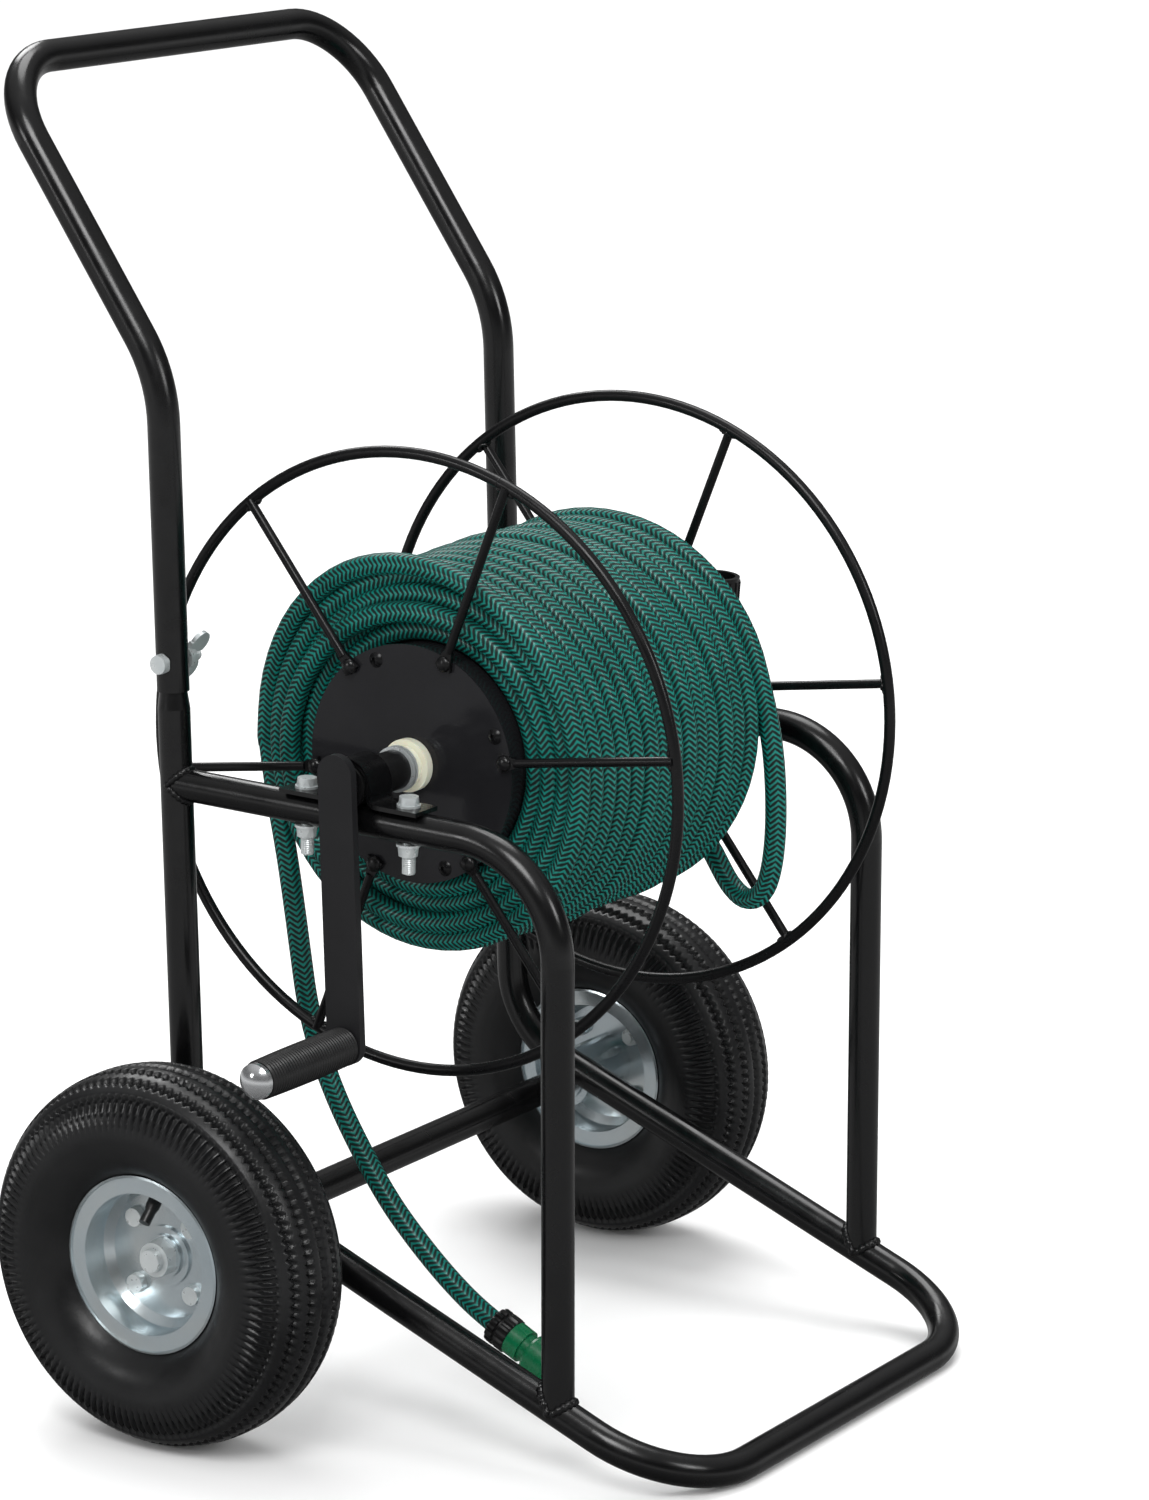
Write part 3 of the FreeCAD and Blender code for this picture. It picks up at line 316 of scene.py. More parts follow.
# Camera: the direction from the cart back to the camera, in degrees, and its place in metres.
view = {"azimuth": -56.645, "elevation": 13.221, "place": (-2.8789, -1.9584, 1.2535),
        "lens": 124.83, "sensor": 36.0}
azimuth, elevation = math.radians(view["azimuth"]), math.radians(view["elevation"])
back = Vector((math.sin(azimuth) * math.cos(elevation), -math.cos(azimuth) * math.cos(elevation),
               math.sin(elevation)))
camera = bpy.data.objects.new("camera", bpy.data.cameras.new("camera"))
camera.data.lens = view["lens"]
camera.data.sensor_width = view["sensor"]
camera.location = view["place"]
camera.rotation_euler = (-back).to_track_quat("-Z", "Y").to_euler()
scene.collection.objects.link(camera)
scene.camera = camera


# The route's smooth line: a spline of order 3 with the route's points as its control points, read back
# as the points that Blender makes of it.
def smoothLine(name, points, steps):
    curve = bpy.data.curves.new(name, "CURVE")
    curve.dimensions = "3D"
    spline = curve.splines.new("NURBS")
    spline.points.add(len(points) - 1)
    spline.points.foreach_set("co", np.c_[points, np.ones(len(points))].ravel())
    spline.order_u = 3
    spline.use_endpoint_u = True
    spline.resolution_u = steps
    curve.resolution_u = steps
    carrier = bpy.data.objects.new(name, curve)
    line = bpy.data.meshes.new_from_object(carrier)
    found = np.empty(len(line.vertices) * 3)
    line.vertices.foreach_get("co", found)
    bpy.data.objects.remove(carrier)
    bpy.data.curves.remove(curve)
    bpy.data.meshes.remove(line)
    return found.reshape(-1, 3)


hose = {
    "radius": 7.5, "axisY": -107.0, "axisZ": 454.0,
    "reach": 121.5,                               # end turns' distance from the middle of the drum
    "outletTurn": 0.375, "outletRadius": 79.0,    # drum outlet, as a share of a turn from straight up
    "innerEnd": 84.0,                             # radius of the inner end, in the elbow
    "layers": np.array([87.2, 99.5, 112.0, 124.5]),
    "turns": np.array([16.0, 16.1, 15.96]),       # in each of the three inner layers
    "climb": 0.35, "rest": 0.5,                   # turns spent rising, and at the end before going back
    "stray": ((0.5, 1.7, 0.0),),                  # sideways, inner turns: size, rate, start
    "perTurn": 16,                                # control points in a turn
    "cut": 0.9808,                                # spline's radius to its control points' radius
    "joinTurn": 49.5,                             # where the slack loop takes over
    "outerEnd": -121.5, "outerTurns": 13.99,      # outer layer, then the climb to the hanging end
    "lastClimb": 0.52, "lastShift": 0.22,         # turns of that climb, and where it starts sideways
    "lastRise": (0.1, 0.42),                      # where it starts and stops outwards
    "tightTo": -86.0, "tightFade": 26.0,          # outer turns are tight up to here, then get loose
    "sway": ((1.2, 1.45, 0.0), (0.8, 3.8, 1.0)),  # sideways, loose turns: size, rate, start
    "swell": ((1.2, 2.3, 0.6), (0.9, 7.3, 0.0)),  # outwards, loose turns: size, rate, start
    "sink": 0.4, "lift": 2.6,                     # outer turns settle inwards, loose ones stand out
    "settle": 7.0,                                # how fast the slack loop's end comes down to its layer
    # slack loop at the front and hanging end, as in the part's own routes
    "loop": [(118, -179, 361), (117, -190, 345), (115, -202, 329), (111, -218, 321), (107, -234, 329),
             (105, -242, 349), (103, -246, 376), (101, -247, 406), (100, -245, 437), (99, -239, 467)],
    "tail": [(-106, 33, 447), (-106, 28, 411), (-106, 20, 373), (-107, 13, 335), (-108, 7, 299),
             (-109, 1, 264), (-110, -10, 231), (-112, -26, 200), (-114, -47, 169), (-118, -73, 138),
             (-121, -101, 113), (-124, -129, 92), (-126, -155, 76), (-127, -179, 65)],
    "sides": 12, "tailSides": 24, "steps": 4, "tailSteps": 10, "sharp": 75.0,
}


# Place on the reel: turns from straight up towards the handle, radius about the reel's axle.
def onReel(x, turn, radius):
    angle = turn * fullTurn
    return np.stack([x, hose["axisY"] + radius * np.sin(angle), hose["axisZ"] + radius * np.cos(angle)], -1)


# Turns and radius of a point about the reel's axle.
def fromReel(point):
    y, z = point[1] - hose["axisY"], point[2] - hose["axisZ"]
    return math.atan2(y, z) / fullTurn, math.hypot(y, z)


# Sum of size * sin(rate * turn + start).
def waves(turn, terms):
    return sum(size * np.sin(turn * rate + start) for size, rate, start in terms)


# Inner layers: x runs from end to end at a steady pitch, the radius holds on each layer and rises by a
# layer at each end.
def innerTurns():
    layers, turns, start = hose["layers"], hose["turns"], hose["outletTurn"]
    turn = np.arange(start, hose["joinTurn"] + 0.001, 1.0 / hose["perTurn"])
    starts = start + np.concatenate([[0.0], np.cumsum(turns[:2] + hose["rest"])])
    layer = np.searchsorted(starts, turn, side="right") - 1
    within = turn - starts[layer]
    share = np.clip(within / turns[layer], 0.0, 1.0)
    x = np.where(layer % 2 == 0, -1.0, 1.0) * hose["reach"] * (1.0 - 2.0 * share)
    x += waves(turn, hose["stray"]) * np.sin(np.pi * share)
    rise = smoothStep((within - turns[layer]) / hose["climb"])
    radius = layers[layer] + (layers[layer + 1] - layers[layer]) * rise
    radius[0] = hose["innerEnd"] * hose["cut"]
    return onReel(x, turn, radius / hose["cut"])


# Outer layer, from the slack loop's end back over the rest: x runs at a steady pitch, with the sway on its
# loose part, and the radius is the last layer's with the swell, rising at the end to the hanging end.
def outerTurns(loopEnd, tailTop):
    firstTurn, firstRadius = fromReel(loopEnd)
    tailRadius = fromReel(tailTop)[1]
    layer, full, shift = hose["layers"][3], hose["outerTurns"], hose["lastShift"]
    on = np.arange(1.0, (full + hose["lastClimb"]) * hose["perTurn"]) / hose["perTurn"]
    share = np.clip(on / full, 0.0, 1.0)
    over = np.maximum(on - full, 0.0)
    x = loopEnd[0] + (hose["outerEnd"] - loopEnd[0]) * share
    x += (tailTop[0] - hose["outerEnd"]) * smoothStep((over - shift) / (hose["lastClimb"] - shift))
    loose = smoothStep((x - hose["tightTo"]) / hose["tightFade"])
    x += loose * waves(on, hose["sway"]) * np.sin(np.pi * share)
    radius = layer - hose["sink"] + loose * (hose["lift"] + waves(on, hose["swell"]))
    riseFrom, riseTo = hose["lastRise"]
    radius += (tailRadius - layer) * smoothStep((over - riseFrom) / (riseTo - riseFrom))
    radius += (firstRadius - radius) * np.exp(-on * hose["settle"])
    return onReel(x, firstTurn + on, radius / hose["cut"])


# Wound route: the inner layers, the slack loop at the front, then the outer layer up to the hanging end.
def woundRoute():
    loop, tailTop = np.array(hose["loop"], float), np.array(hose["tail"][0], float)
    return np.concatenate([innerTurns(), loop, outerTurns(loop[-1], tailTop), tailTop[None, :]])


# Distance along a line at each of its points.
def runLength(line):
    return np.concatenate([[0.0], np.cumsum(np.linalg.norm(np.diff(line, axis=0), axis=1))])


woundLine = smoothLine("woundRoute", woundRoute(), hose["steps"])
tailLine = smoothLine("tailRoute", np.array(hose["tail"], float), hose["tailSteps"])
woundRun, tailRun = runLength(woundLine) / 1000.0, runLength(tailLine) / 1000.0
woundRings = ringsAlong(woundLine, hose["radius"], hose["sides"])
tailRings = ringsAlong(tailLine, hose["radius"], hose["tailSides"])
woundMesh = gridMesh("woundHose", [(woundRings, False)], hose["sharp"], [woundRun])
tailMesh = gridMesh("hangingHose", [(tailRings, False)], hose["sharp"], [tailRun])
woundHose = addPiece("woundHose", woundMesh, "reel", finishes["hose"],
                     ("hose_pack", "hose_slack_loop"))
hangingHose = addPiece("hangingHose", tailMesh, "frame", finishes["hose"], ("hose_tail",))
print("hose lengths", round(woundRun[-1], 2), round(tailRun[-1], 3), "faces", len(woundMesh.polygons))

# Ribbed collar nut at the hose's free end. Its outside is (distance along, depth below the radius).
collar = {
    "back": 14.0, "length": 17.0, "radius": 12.4, "bore": 7.7,
    "outside": [(0.0, 1.6), (0.8, 0.5), (2.0, 0.0), (6.2, 0.0), (6.8, 1.3), (8.0, 1.3), (8.6, 0.0),
                (15.4, 0.0), (16.6, 0.7), (17.0, 1.8)],
    "ribs": 14, "rib": 0.6, "perRib": 8, "steep": 1.6,
    "ribbedTo": 1.0,                                  # ribs stop this far below the radius
}
hoseEnd = np.array(hose["tail"][-1], float)
hoseOut = unit(hoseEnd - np.array(hose["tail"][-2], float))


# Outline turned about the hose, with ribs: radius + rib * cosine(ribs * angle), steepened and clipped.
def makeCollar():
    c = collar
    outside = np.array(c["outside"]) * (1.0, -1.0) + (0.0, c["radius"])
    outline = np.concatenate([[(0.0, c["bore"])], outside, [(c["length"], c["bore"])]]) - (c["back"], 0.0)
    angle = roundAngles(c["ribs"] * c["perRib"])
    wave = np.clip(np.cos(c["ribs"] * angle) * c["steep"], -1.0, 1.0)
    relief = c["rib"] * wave[None, :] * (outline[:, 1:2] > c["radius"] - c["ribbedTo"])
    rings = turnedRings(hoseEnd, hoseOut, outline, len(angle), relief)
    return gridMesh("collarNut", [(rings, True)], sharp=35.0)


collarNut = addPiece("collarNut", makeCollar(), "frame", finishes["plastic"],
                     ("hose_collar_nut",))

# Elbow from the drum's outlet to the hose's inner end, with its clamp band. It points the way that the
# hose is wound, square to the outlet.
elbow = {"lift": 5.5, "setBack": 2.0, "dip": 0.06,   # above the outlet, back from it, band's dip inwards
         "body": 8.4, "length": 9.5, "sides": 20, "rings": 12, "bandSides": 28,
         "band": [(3.0, 7.9), (3.0, 8.9), (4.0, 9.2), (11.0, 9.2), (12.0, 8.9), (12.0, 7.9)]}
outletAngle = fullTurn * hose["outletTurn"]
outletUp = np.array([0.0, math.sin(outletAngle), math.cos(outletAngle)])
windWay = np.array([0.0, math.cos(outletAngle), -math.sin(outletAngle)])
outletTop = np.array([-hose["reach"], hose["axisY"], hose["axisZ"]]) + hose["outletRadius"] * outletUp
elbowAt = outletTop + elbow["lift"] * outletUp - elbow["setBack"] * windWay
bandWay = windWay - elbow["dip"] * outletUp
elbowGrids = [lump(elbowAt, windWay, elbow["body"], elbow["length"], elbow["sides"], elbow["rings"]),
              (turnedRings(elbowAt, bandWay, elbow["band"], elbow["bandSides"]), True)]
addPiece("drumElbow", gridMesh("drumElbow", elbowGrids, sharp=50.0), "reel", finishes["plastic"])

tyre = {
    "x": 271.0, "z": 130.0, "radius": 130.0, "half": 42.5, "middle": 93.0,
    "treadTo": 62.0, "sweep": 147.0,                 # degrees from the crown: edge of the tread, bead
    "treadRings": 30, "wallRings": 20,               # grid rings on each side
    "squareness": (0.8, 0.9),                        # powers of the section's sine and cosine
    "flutes": 120, "perFlute": 7,                    # shoulder flutes, and grid steps in each
    "grooves": ((0.0, 1.3, 2.6), (13.0, 1.5, 2.8), (25.5, 1.4, 2.6)),   # middle, half width, depth
    "grooveSlope": 0.6, "zigzag": 1.6,
    "grooveLimit": 0.3, "fluteLimit": -0.2, "ringLimit": 0.25,   # cosine from the crown where each stops
    "fluteFrom": 96.0, "fluteTo": 119.0, "fluteDepth": 3.6, "fluteInner": 0.35,   # depth's share at inner end
    "fluteWidth": (0.15, 0.75),                      # share of the flute's step, inner end and gain outwards
    "fluteEdge": 0.45, "fluteFade": (4.0, 9.0),      # side slope, and how fast both ends fade
    "ringAt": 91.0, "ringHeight": 0.7, "ringWidth": 1.0,
    # inner wall from the bead to the crown, as (from the middle plane, radius)
    "inside": [(25.0, 59.5), (25.0, 51.0), (16.0, 51.0), (18.0, 63.6), (31.5, 75.2), (35.5, 86.8),
               (33.5, 102.6), (25.5, 114.9), (12.75, 118.0)],
}


def signedPower(value, degree):
    return np.sign(value) * np.abs(value) ** degree


# Tyre section: x = half * sin^0.8, radius = middle + rise * cos^0.9 of an angle from the crown.
def tyreSection():
    t = tyre
    tread = np.linspace(0.0, t["treadTo"], t["treadRings"])
    wall = np.linspace(t["treadTo"], t["sweep"], t["wallRings"])[1:]
    fromCrown = np.concatenate([tread, wall])
    phi = np.radians(np.concatenate([-fromCrown[::-1], fromCrown[1:]]))
    x = t["half"] * signedPower(np.sin(phi), t["squareness"][0])
    r = t["middle"] + (t["radius"] - t["middle"]) * signedPower(np.cos(phi), t["squareness"][1])
    return phi, x, r


# Depth cut from the section: zigzag grooves in the tread, whose line goes to and fro once for each flute,
# and flutes in the shoulders that widen outwards. A raised ring on the wall is a negative depth.
def tyreCut(phi, x, r, cycle):
    t = tyre
    saw = np.abs((cycle % 1.0) - 0.5) * 4.0 - 1.0                        # -1 to 1 and back in each flute
    cut = np.zeros((len(x), len(cycle)))
    for middle, width, depth in t["grooves"]:
        for where in {middle, -middle}:
            line = where + t["zigzag"] * saw[None, :] * (1.0 if where >= 0 else -1.0)
            groove = smoothStep(1.0 + t["grooveSlope"] - np.abs(x[:, None] - line) / width)
            cut = np.maximum(cut, depth * groove * (np.cos(phi[:, None]) > t["grooveLimit"]))
    out = (r - t["fluteFrom"]) / (t["fluteTo"] - t["fluteFrom"])         # 0 inner end, 1 outer end
    fadeIn, fadeOut = t["fluteFade"]
    on = smoothStep(out * fadeIn) * smoothStep((1.0 - out) * fadeOut) * (np.cos(phi) > t["fluteLimit"])
    narrow, widening = t["fluteWidth"]
    width = np.clip(narrow + widening * out, 0.0, 1.0)
    valley = np.abs(((cycle[None, :] + 0.5) % 1.0) - 0.5) * 2.0          # 0 in the valley's middle
    flute = smoothStep((width[:, None] - valley) / t["fluteEdge"] + 0.5)
    deepening = np.clip(t["fluteInner"] + out, 0.0, 1.0)
    cut = np.maximum(cut, t["fluteDepth"] * on[:, None] * flute * deepening[:, None])
    ring = np.exp(-((r[:, None] - t["ringAt"]) / t["ringWidth"]) ** 2)
    return cut - t["ringHeight"] * ring * (np.cos(phi[:, None]) < t["ringLimit"])


# Tyre: the section moved inwards by the cut along its own normal, closed by the inner wall, and turned
# about the wheel's axle.
def makeTyre(name, sign):
    t = tyre
    phi, x, r = tyreSection()
    slope = unit(np.stack([np.gradient(x), np.gradient(r)], -1))
    normalX, normalR = -slope[:, 1], slope[:, 0]
    around = np.arange(t["flutes"] * t["perFlute"]) / (t["flutes"] * t["perFlute"])
    cut = tyreCut(phi, x, r, around * t["flutes"])
    ringX = x[:, None] - normalX[:, None] * cut
    ringR = r[:, None] - normalR[:, None] * cut
    inside = np.array(t["inside"])
    inside = np.concatenate([inside, inside[::-1] * (-1.0, 1.0)])
    ringX = np.concatenate([ringX, np.broadcast_to(inside[:, :1], (len(inside), len(around)))])
    ringR = np.concatenate([ringR, np.broadcast_to(inside[:, 1:], (len(inside), len(around)))])
    angle = around[None, :] * fullTurn
    rings = np.stack([sign * t["x"] + ringX, ringR * np.sin(angle), t["z"] + ringR * np.cos(angle)], -1)
    return gridMesh(name, [(rings[:, ::-1], True)], sharp=55.0)


for side, sign in sides.items():
    addPiece(side + "TyreTread", makeTyre(side + "TyreTread", sign), side + "_wheel", finishes["tyre"],
             (side + "_tyre",))
print("tyres made")

tube = {"radius": 11.0, "half": 197.0, "lean": 0.0225, "footY": 33.0, "slope": 0.39328, "frontY": -363.0,
        "legY": -264.0, "hoopFall": 0.024, "hoopAt": 429.92}
# Beads are (radius, ripples round the joint). hoopBack is how far behind its foot the upright stands where
# the hoop meets it.
frameBeads = {"hoop": (2.3, 23.0), "hoopBack": 10.0, "leg": (3.0, 19.0), "crossing": (1.9, 17.0),
              "crossingReach": 7.5}
ripple = {"joint": 0.2, "crossing": 0.15, "slow": (0.1, 3.0, 1.0)}    # shares of the bead's radius


# Bead where a branch tube meets a main tube. Round the branch, point = meeting + branch radius * spoke +
# s * branch direction, and s solves |part of the point square to the main tube| = main radius. The bead's
# own radius ripples round the joint.
def weldBead(meeting, mainDirection, mainRadius, branchDirection, branchRadius, bead, ripples,
             samples=72, shape=8):
    main, branch = unit(np.array(mainDirection, float)), unit(np.array(branchDirection, float))
    angle = roundAngles(samples)
    first = squareTo(axle, branch)
    second = np.cross(branch, first)
    spoke = branchRadius * (np.cos(angle)[:, None] * first + np.sin(angle)[:, None] * second)
    offMain = lambda vectors: vectors - (vectors @ main)[..., None] * main
    flat, lead = offMain(spoke), offMain(branch)
    a, b, c = lead @ lead, 2.0 * flat @ lead, (flat * flat).sum(1) - mainRadius ** 2
    s = (-b + np.sqrt(np.maximum(b * b - 4.0 * a * c, 0.0))) / (2.0 * a)
    path = np.array(meeting, float) + spoke + s[:, None] * branch
    along = unit(np.roll(path, -1, 0) - np.roll(path, 1, 0))
    outward = unit(spoke - (spoke * along).sum(1)[:, None] * along)
    size = bead * (1.0 + waves(angle, ((ripple["joint"], ripples, 0.0), ripple["slow"])))
    return sweptRings(path, outward, np.cross(along, outward), size, shape), True


# How far back the upright stands at a height, and how high the base rail and the side hoop are.
def uprightY(z):
    return tube["footY"] + tube["lean"] * z


def railZ(y):
    return tube["radius"] + tube["slope"] * (y - tube["frontY"])


def hoopZ(y):
    return tube["hoopAt"] + tube["hoopFall"] * (y - hose["axisY"])


# Bead round the place where the base rail lies across the axle's tube: a loop of the given reach whose
# height off the touching point is reach^2 * (cos^2 - sin^2) / (4 * tube radius), half-way up the gap.
def crossingBead(x, reach, bead, ripples, samples=56, shape=8):
    rail = unit(np.array([0.0, 1.0, tube["slope"]]))
    normal = np.cross(axle, rail)
    angle = roundAngles(samples)[:, None]
    height = reach ** 2 * (np.cos(angle) ** 2 - np.sin(angle) ** 2) / (4.0 * tube["radius"])
    path = (np.array([x, 0.0, tyre["z"]]) + (tube["radius"] + height) * normal
            + reach * (np.cos(angle) * axle + np.sin(angle) * rail))
    along = unit(np.roll(path, -1, 0) - np.roll(path, 1, 0))
    upward = squareTo(normal, along)
    size = bead * (1.0 + waves(angle[:, 0], ((ripple["crossing"], ripples, 0.0),)))
    return sweptRings(path, upward, np.cross(upward, along), size, shape), True


# Beads of each side frame: hoop on upright, leg on base rail, and base rail on the axle's tube.
def frameWelds():
    t, f, beads = tube, frameBeads, []
    r = t["radius"]
    for sign in sides.values():
        x = sign * t["half"]
        rearZ = hoopZ(t["footY"] + f["hoopBack"])
        beads.append(weldBead((x, uprightY(rearZ), rearZ), (0.0, t["lean"], 1.0), r,
                              (0.0, -1.0, -t["hoopFall"]), r, *f["hoop"]))
        beads.append(weldBead((x, t["legY"], railZ(t["legY"])), (0.0, 1.0, t["slope"]), r,
                              straightUp, r, *f["leg"]))
        beads.append(crossingBead(x, f["crossingReach"], *f["crossing"]))
    return beads


reel = {
    "flangeX": 136.0, "ring": 209.5, "wire": 4.0, "spoke": 3.2, "disc": 81.0, "spokes": 6, "firstSpoke": 38.0,
    "endBead": (1.5, 7.0), "endTuck": 0.3,            # bead round each spoke's end, how far it is tucked in
    "sideBead": {"along": 4.6, "in": 3.2, "out": 0.838, "wide": 2.4, "tall": 3.4},
    "footBead": {"in": 3.5, "out": 3.7, "wide": 5.6, "tall": 3.2},
    "seam": {"angle": 340.0, "proud": 0.35, "tall": 1.6},   # butt weld of the crank side's ring
}


# Beads of the wire flanges: round each spoke's end and on both its sides at the ring, a lump at its foot
# on the drum disc, and the ring's own seam.
def reelWelds():
    reelMiddle = np.array([0.0, hose["axisY"], hose["axisZ"]])
    r, beads = reel, []
    sideBead, footBead, seam = r["sideBead"], r["footBead"], r["seam"]
    for sign in sides.values():
        out = sign * axle
        for angle in np.radians(r["firstSpoke"] + np.arange(r["spokes"]) * 360.0 / r["spokes"]):
            spoke = np.array([0.0, math.sin(angle), math.cos(angle)])
            tangent = np.array([0.0, math.cos(angle), -math.sin(angle)])
            onRing = reelMiddle + r["flangeX"] * out + spoke * r["ring"]
            beads.append(weldBead(onRing, tangent, r["wire"], -spoke, r["spoke"] - r["endTuck"],
                                  *r["endBead"], samples=28, shape=6))
            beside = onRing + sideBead["out"] * out - sideBead["in"] * spoke
            for way in (-1.0, 1.0):
                at = beside + way * sideBead["along"] * tangent
                beads.append(lump(at, tangent, sideBead["wide"], sideBead["tall"]))
            foot = reelMiddle + (r["flangeX"] + footBead["out"]) * out + spoke * (r["disc"] - footBead["in"])
            beads.append(lump(foot, out, footBead["wide"], footBead["tall"]))
    angle = math.radians(seam["angle"])
    at = reelMiddle + (-r["flangeX"], r["ring"] * math.sin(angle), r["ring"] * math.cos(angle))
    beads.append(lump(at, (0.0, math.cos(angle), -math.sin(angle)), r["wire"] + seam["proud"], seam["tall"]))
    return beads


addPiece("frameWelds", gridMesh("frameWelds", frameWelds(), sharp=80.0), "frame", finishes["weldBlack"])
addPiece("reelWelds", gridMesh("reelWelds", reelWelds(), sharp=80.0), "reel", finishes["weldBlack"])
print("welds made")

threads = {
    "axle": {"from": 286.2, "radius": 8.35, "length": 5.2, "pitch": 1.5, "depth": 0.45},
    "strap": {"span": 41.0, "below": 8.0, "radius": 4.25, "length": 12.4, "pitch": 1.25, "depth": 0.35},
    "handle": {"z": 517.0, "inside": 9.0, "radius": 4.25, "length": 7.2, "pitch": 1.25, "depth": 0.35},
    "around": 24, "perPitch": 6, "taper": 1.2, "taperDepth": 0.6,     # the last stretch runs out to a point
}


# A screw thread is one surface: radius = crest - depth * |saw| of (length / pitch - angle / full turn).
def threadRings(base, direction, kind):
    t, k = threads, threads[kind]
    along = np.linspace(0.0, k["length"], int(k["length"] / k["pitch"] * t["perPitch"]) + 2)
    turn = np.arange(t["around"]) / t["around"]
    saw = np.abs(((along[:, None] / k["pitch"] - turn[None, :]) % 1.0) - 0.5) * 2.0
    outline = np.stack([along, np.full(len(along), k["radius"])], -1)
    taper = 1.0 - smoothStep((k["length"] - along) / t["taper"])[:, None]
    relief = -k["depth"] * saw - t["taperDepth"] * taper
    return turnedRings(base, direction, outline, t["around"], relief), False


# Threads past the nuts: the wheel axle's ends, the strap bolts' lower ends and the handle bolts' inner ends.
def frameThreads():
    grids, axleEnd, strap, handle = [], threads["axle"], threads["strap"], threads["handle"]
    for sign in sides.values():
        grids.append(threadRings((sign * axleEnd["from"], 0.0, tyre["z"]), sign * axle, "axle"))
        down = np.array([0.0, tube["hoopFall"], -1.0])
        for span in (-strap["span"], strap["span"]):
            y = hose["axisY"] + span
            start = np.array([sign * tube["half"], y, hoopZ(y) - tube["radius"] - strap["below"]])
            grids.append(threadRings(start, down, "strap"))
        inner = sign * (tube["half"] - tube["radius"] - handle["inside"])
        grids.append(threadRings((inner, uprightY(handle["z"]), handle["z"]), -sign * axle, "handle"))
    return grids


addPiece("boltThreads", gridMesh("boltThreads", frameThreads(), sharp=25.0), "frame", finishes["boltZinc"])
print("threads made")

# Finish of each CAD node. The ones that aren't listed are zinc plated.
finishOf = {
    "frameBlack": ["base_frame_tube", "left_side_hoop", "right_side_hoop", "axle_cross_tube", "handle_tube",
                   "bearing_straps"],
    "wireBlack": ["left_flange_ring", "right_flange_ring", "left_flange_spokes", "right_flange_spokes",
                  "drum_tie_bolts", "reel_axle"],
    "discBlack": ["drum_discs", "drum_sheet"],
    "armBlack": ["crank_arm"],
    "plastic": ["bearing_bushes", "inlet_connector", "axle_spacer_sleeves"],
    "nylon": ["nylon_bushes"],
    "chrome": ["grip_end_cap"],
    "boltZinc": ["left_rim_bolts_and_nuts", "right_rim_bolts_and_nuts", "axle_nuts", "handle_bolts",
                 "handle_wing_nuts", "bearing_strap_bolts", "bearing_strap_washers", "bearing_strap_nuts",
                 "wheel_axle", "thrust_washers"],
    "rubber": ["hand_grip", "left_valve_stem", "right_valve_stem", "swivel_seals"],
    "butyl": ["left_inner_tube", "right_inner_tube"],
    "brass": ["swivel_nipple", "swivel_housing", "inlet_riser", "inlet_lock_nut", "drum_outlet_pipe"],
    "greenPlastic": ["quick_connector_body", "quick_connector_sleeve"],
}
named = {node: finish for finish, found in finishOf.items() for node in found}
for name, piece in nodes.items():
    piece.data.materials.clear()
    piece.data.materials.append(finishes[named.get(name, "zinc")])
print("finishes given to", len(nodes), "nodes")

floorHalf = 30.0                                      # metres
floorMesh = bpy.data.meshes.new("floor")
floorMesh.from_pydata([(-floorHalf, -floorHalf, 0), (floorHalf, -floorHalf, 0), (floorHalf, floorHalf, 0),
                       (-floorHalf, floorHalf, 0)], [], [(0, 1, 2, 3)])
floorMesh.materials.append(makeFinish("paleFloor", [(0.86, 0.86, 0.86), (0.88, 0.88, 0.88)], (0.7, 0.8),
                                      patch=0.6, bump=0.0))
floor = bpy.data.objects.new("floor", floorMesh)
scene.collection.objects.link(floor)
floor.visible_glossy = False                      # black paint doesn't mirror the floor

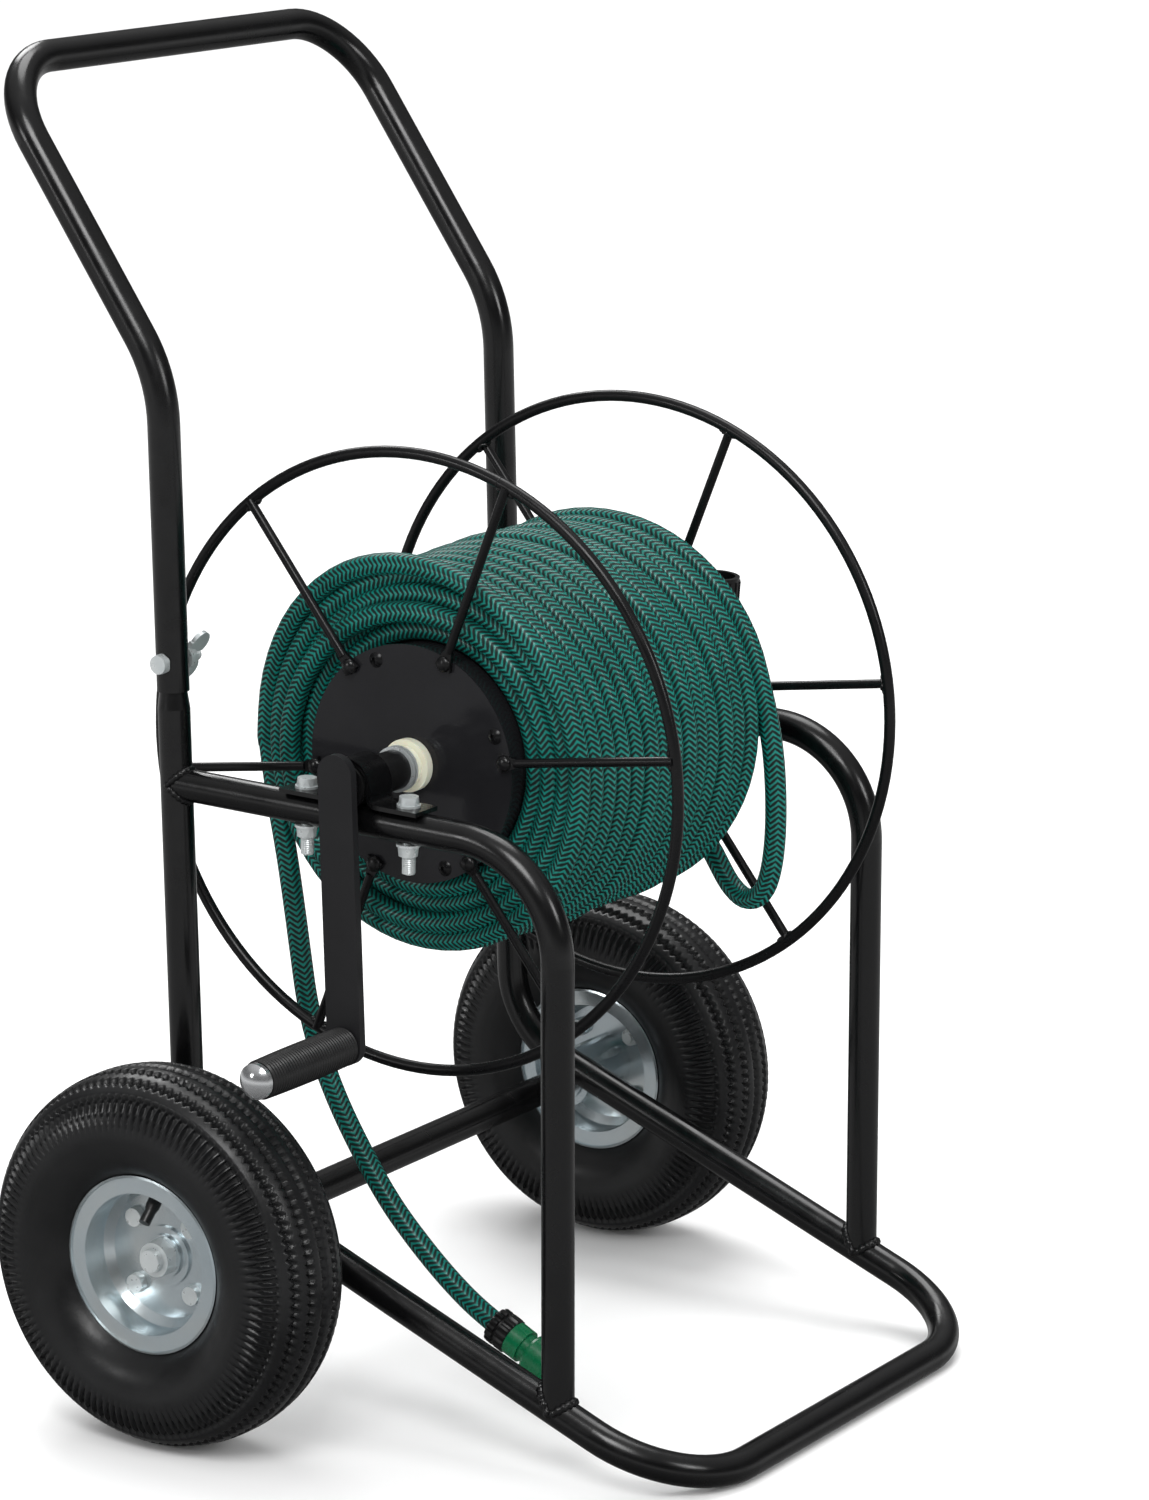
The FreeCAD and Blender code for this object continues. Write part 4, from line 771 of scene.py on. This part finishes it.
# Lamps aim at the middle of the cart. Sizes and places are in metres, power in watts.
aim = Vector((0.0, 0.0, 0.4))
lamps = {
    "keyLight": {"place": (-2.6, -1.2, 3.4), "size": 1.6, "power": 80.0},
    "frontLight": {"place": (-0.2, -3.6, 2.2), "size": 1.0, "power": 26.0},
    "backLight": {"place": (1.6, 2.4, 3.0), "size": 1.4, "power": 40.0},
    "sideStrip": {"place": (-3.2, 1.6, 1.4), "size": 0.6, "power": 12.0},
}
for name, lamp in lamps.items():
    light = bpy.data.lights.new(name, "AREA")
    light.size = lamp["size"]
    light.energy = lamp["power"]
    holder = bpy.data.objects.new(name, light)
    holder.location = lamp["place"]
    holder.rotation_euler = (aim - holder.location).to_track_quat("-Z", "Y").to_euler()
    scene.collection.objects.link(holder)

# A wide sun fills the floor evenly.
sunny = {"from": (0.35, 0.15, 1.0), "strength": 1.3, "angle": 35.0}
sun = bpy.data.lights.new("wideSun", "SUN")
sun.energy = sunny["strength"]
sun.angle = math.radians(sunny["angle"])
sunHolder = bpy.data.objects.new("wideSun", sun)
sunHolder.rotation_euler = Vector(sunny["from"]).to_track_quat("Z", "Y").to_euler()
scene.collection.objects.link(sunHolder)

# The room is white to the camera and nearly white to matt surfaces. Glossy surfaces see a dimmer room, in
# bands by height: mirrored brightness = ramp((upward part of direction + 1) / 2).
room = {"matt": 0.92, "bands": [(0.0, 0.08), (0.32, 0.24), (0.42, 0.62), (0.49, 0.36), (0.53, 0.1),
                                (0.66, 0.07), (0.8, 0.3), (1.0, 0.55)]}
world = bpy.data.worlds.new("room")
scene.world = world
world.use_nodes = True
tree = world.node_tree
ray = addNode(tree, "ShaderNodeLightPath")
toward = addNode(tree, "ShaderNodeTexCoord").outputs["Object"]
height = addNode(tree, "ShaderNodeSeparateXYZ", {0: toward}).outputs[2]
height = mathNode(tree, "ADD", mathNode(tree, "MULTIPLY", height, 0.5), 0.5)
banded = colourRamp(tree, height, [(where, (grey, grey, grey)) for where, grey in room["bands"]])
matt = mathNode(tree, "MULTIPLY", mathNode(tree, "SUBTRACT", 1.0, ray.outputs["Is Glossy Ray"]), room["matt"])
mirrored = mathNode(tree, "MULTIPLY", banded, ray.outputs["Is Glossy Ray"])
tone = mathNode(tree, "MAXIMUM", mathNode(tree, "ADD", matt, mirrored), ray.outputs["Is Camera Ray"])
tree.links.new(tone, tree.nodes["Background"].inputs["Color"])
scene.view_settings.view_transform = "Standard"
print("floor, lights and room made")
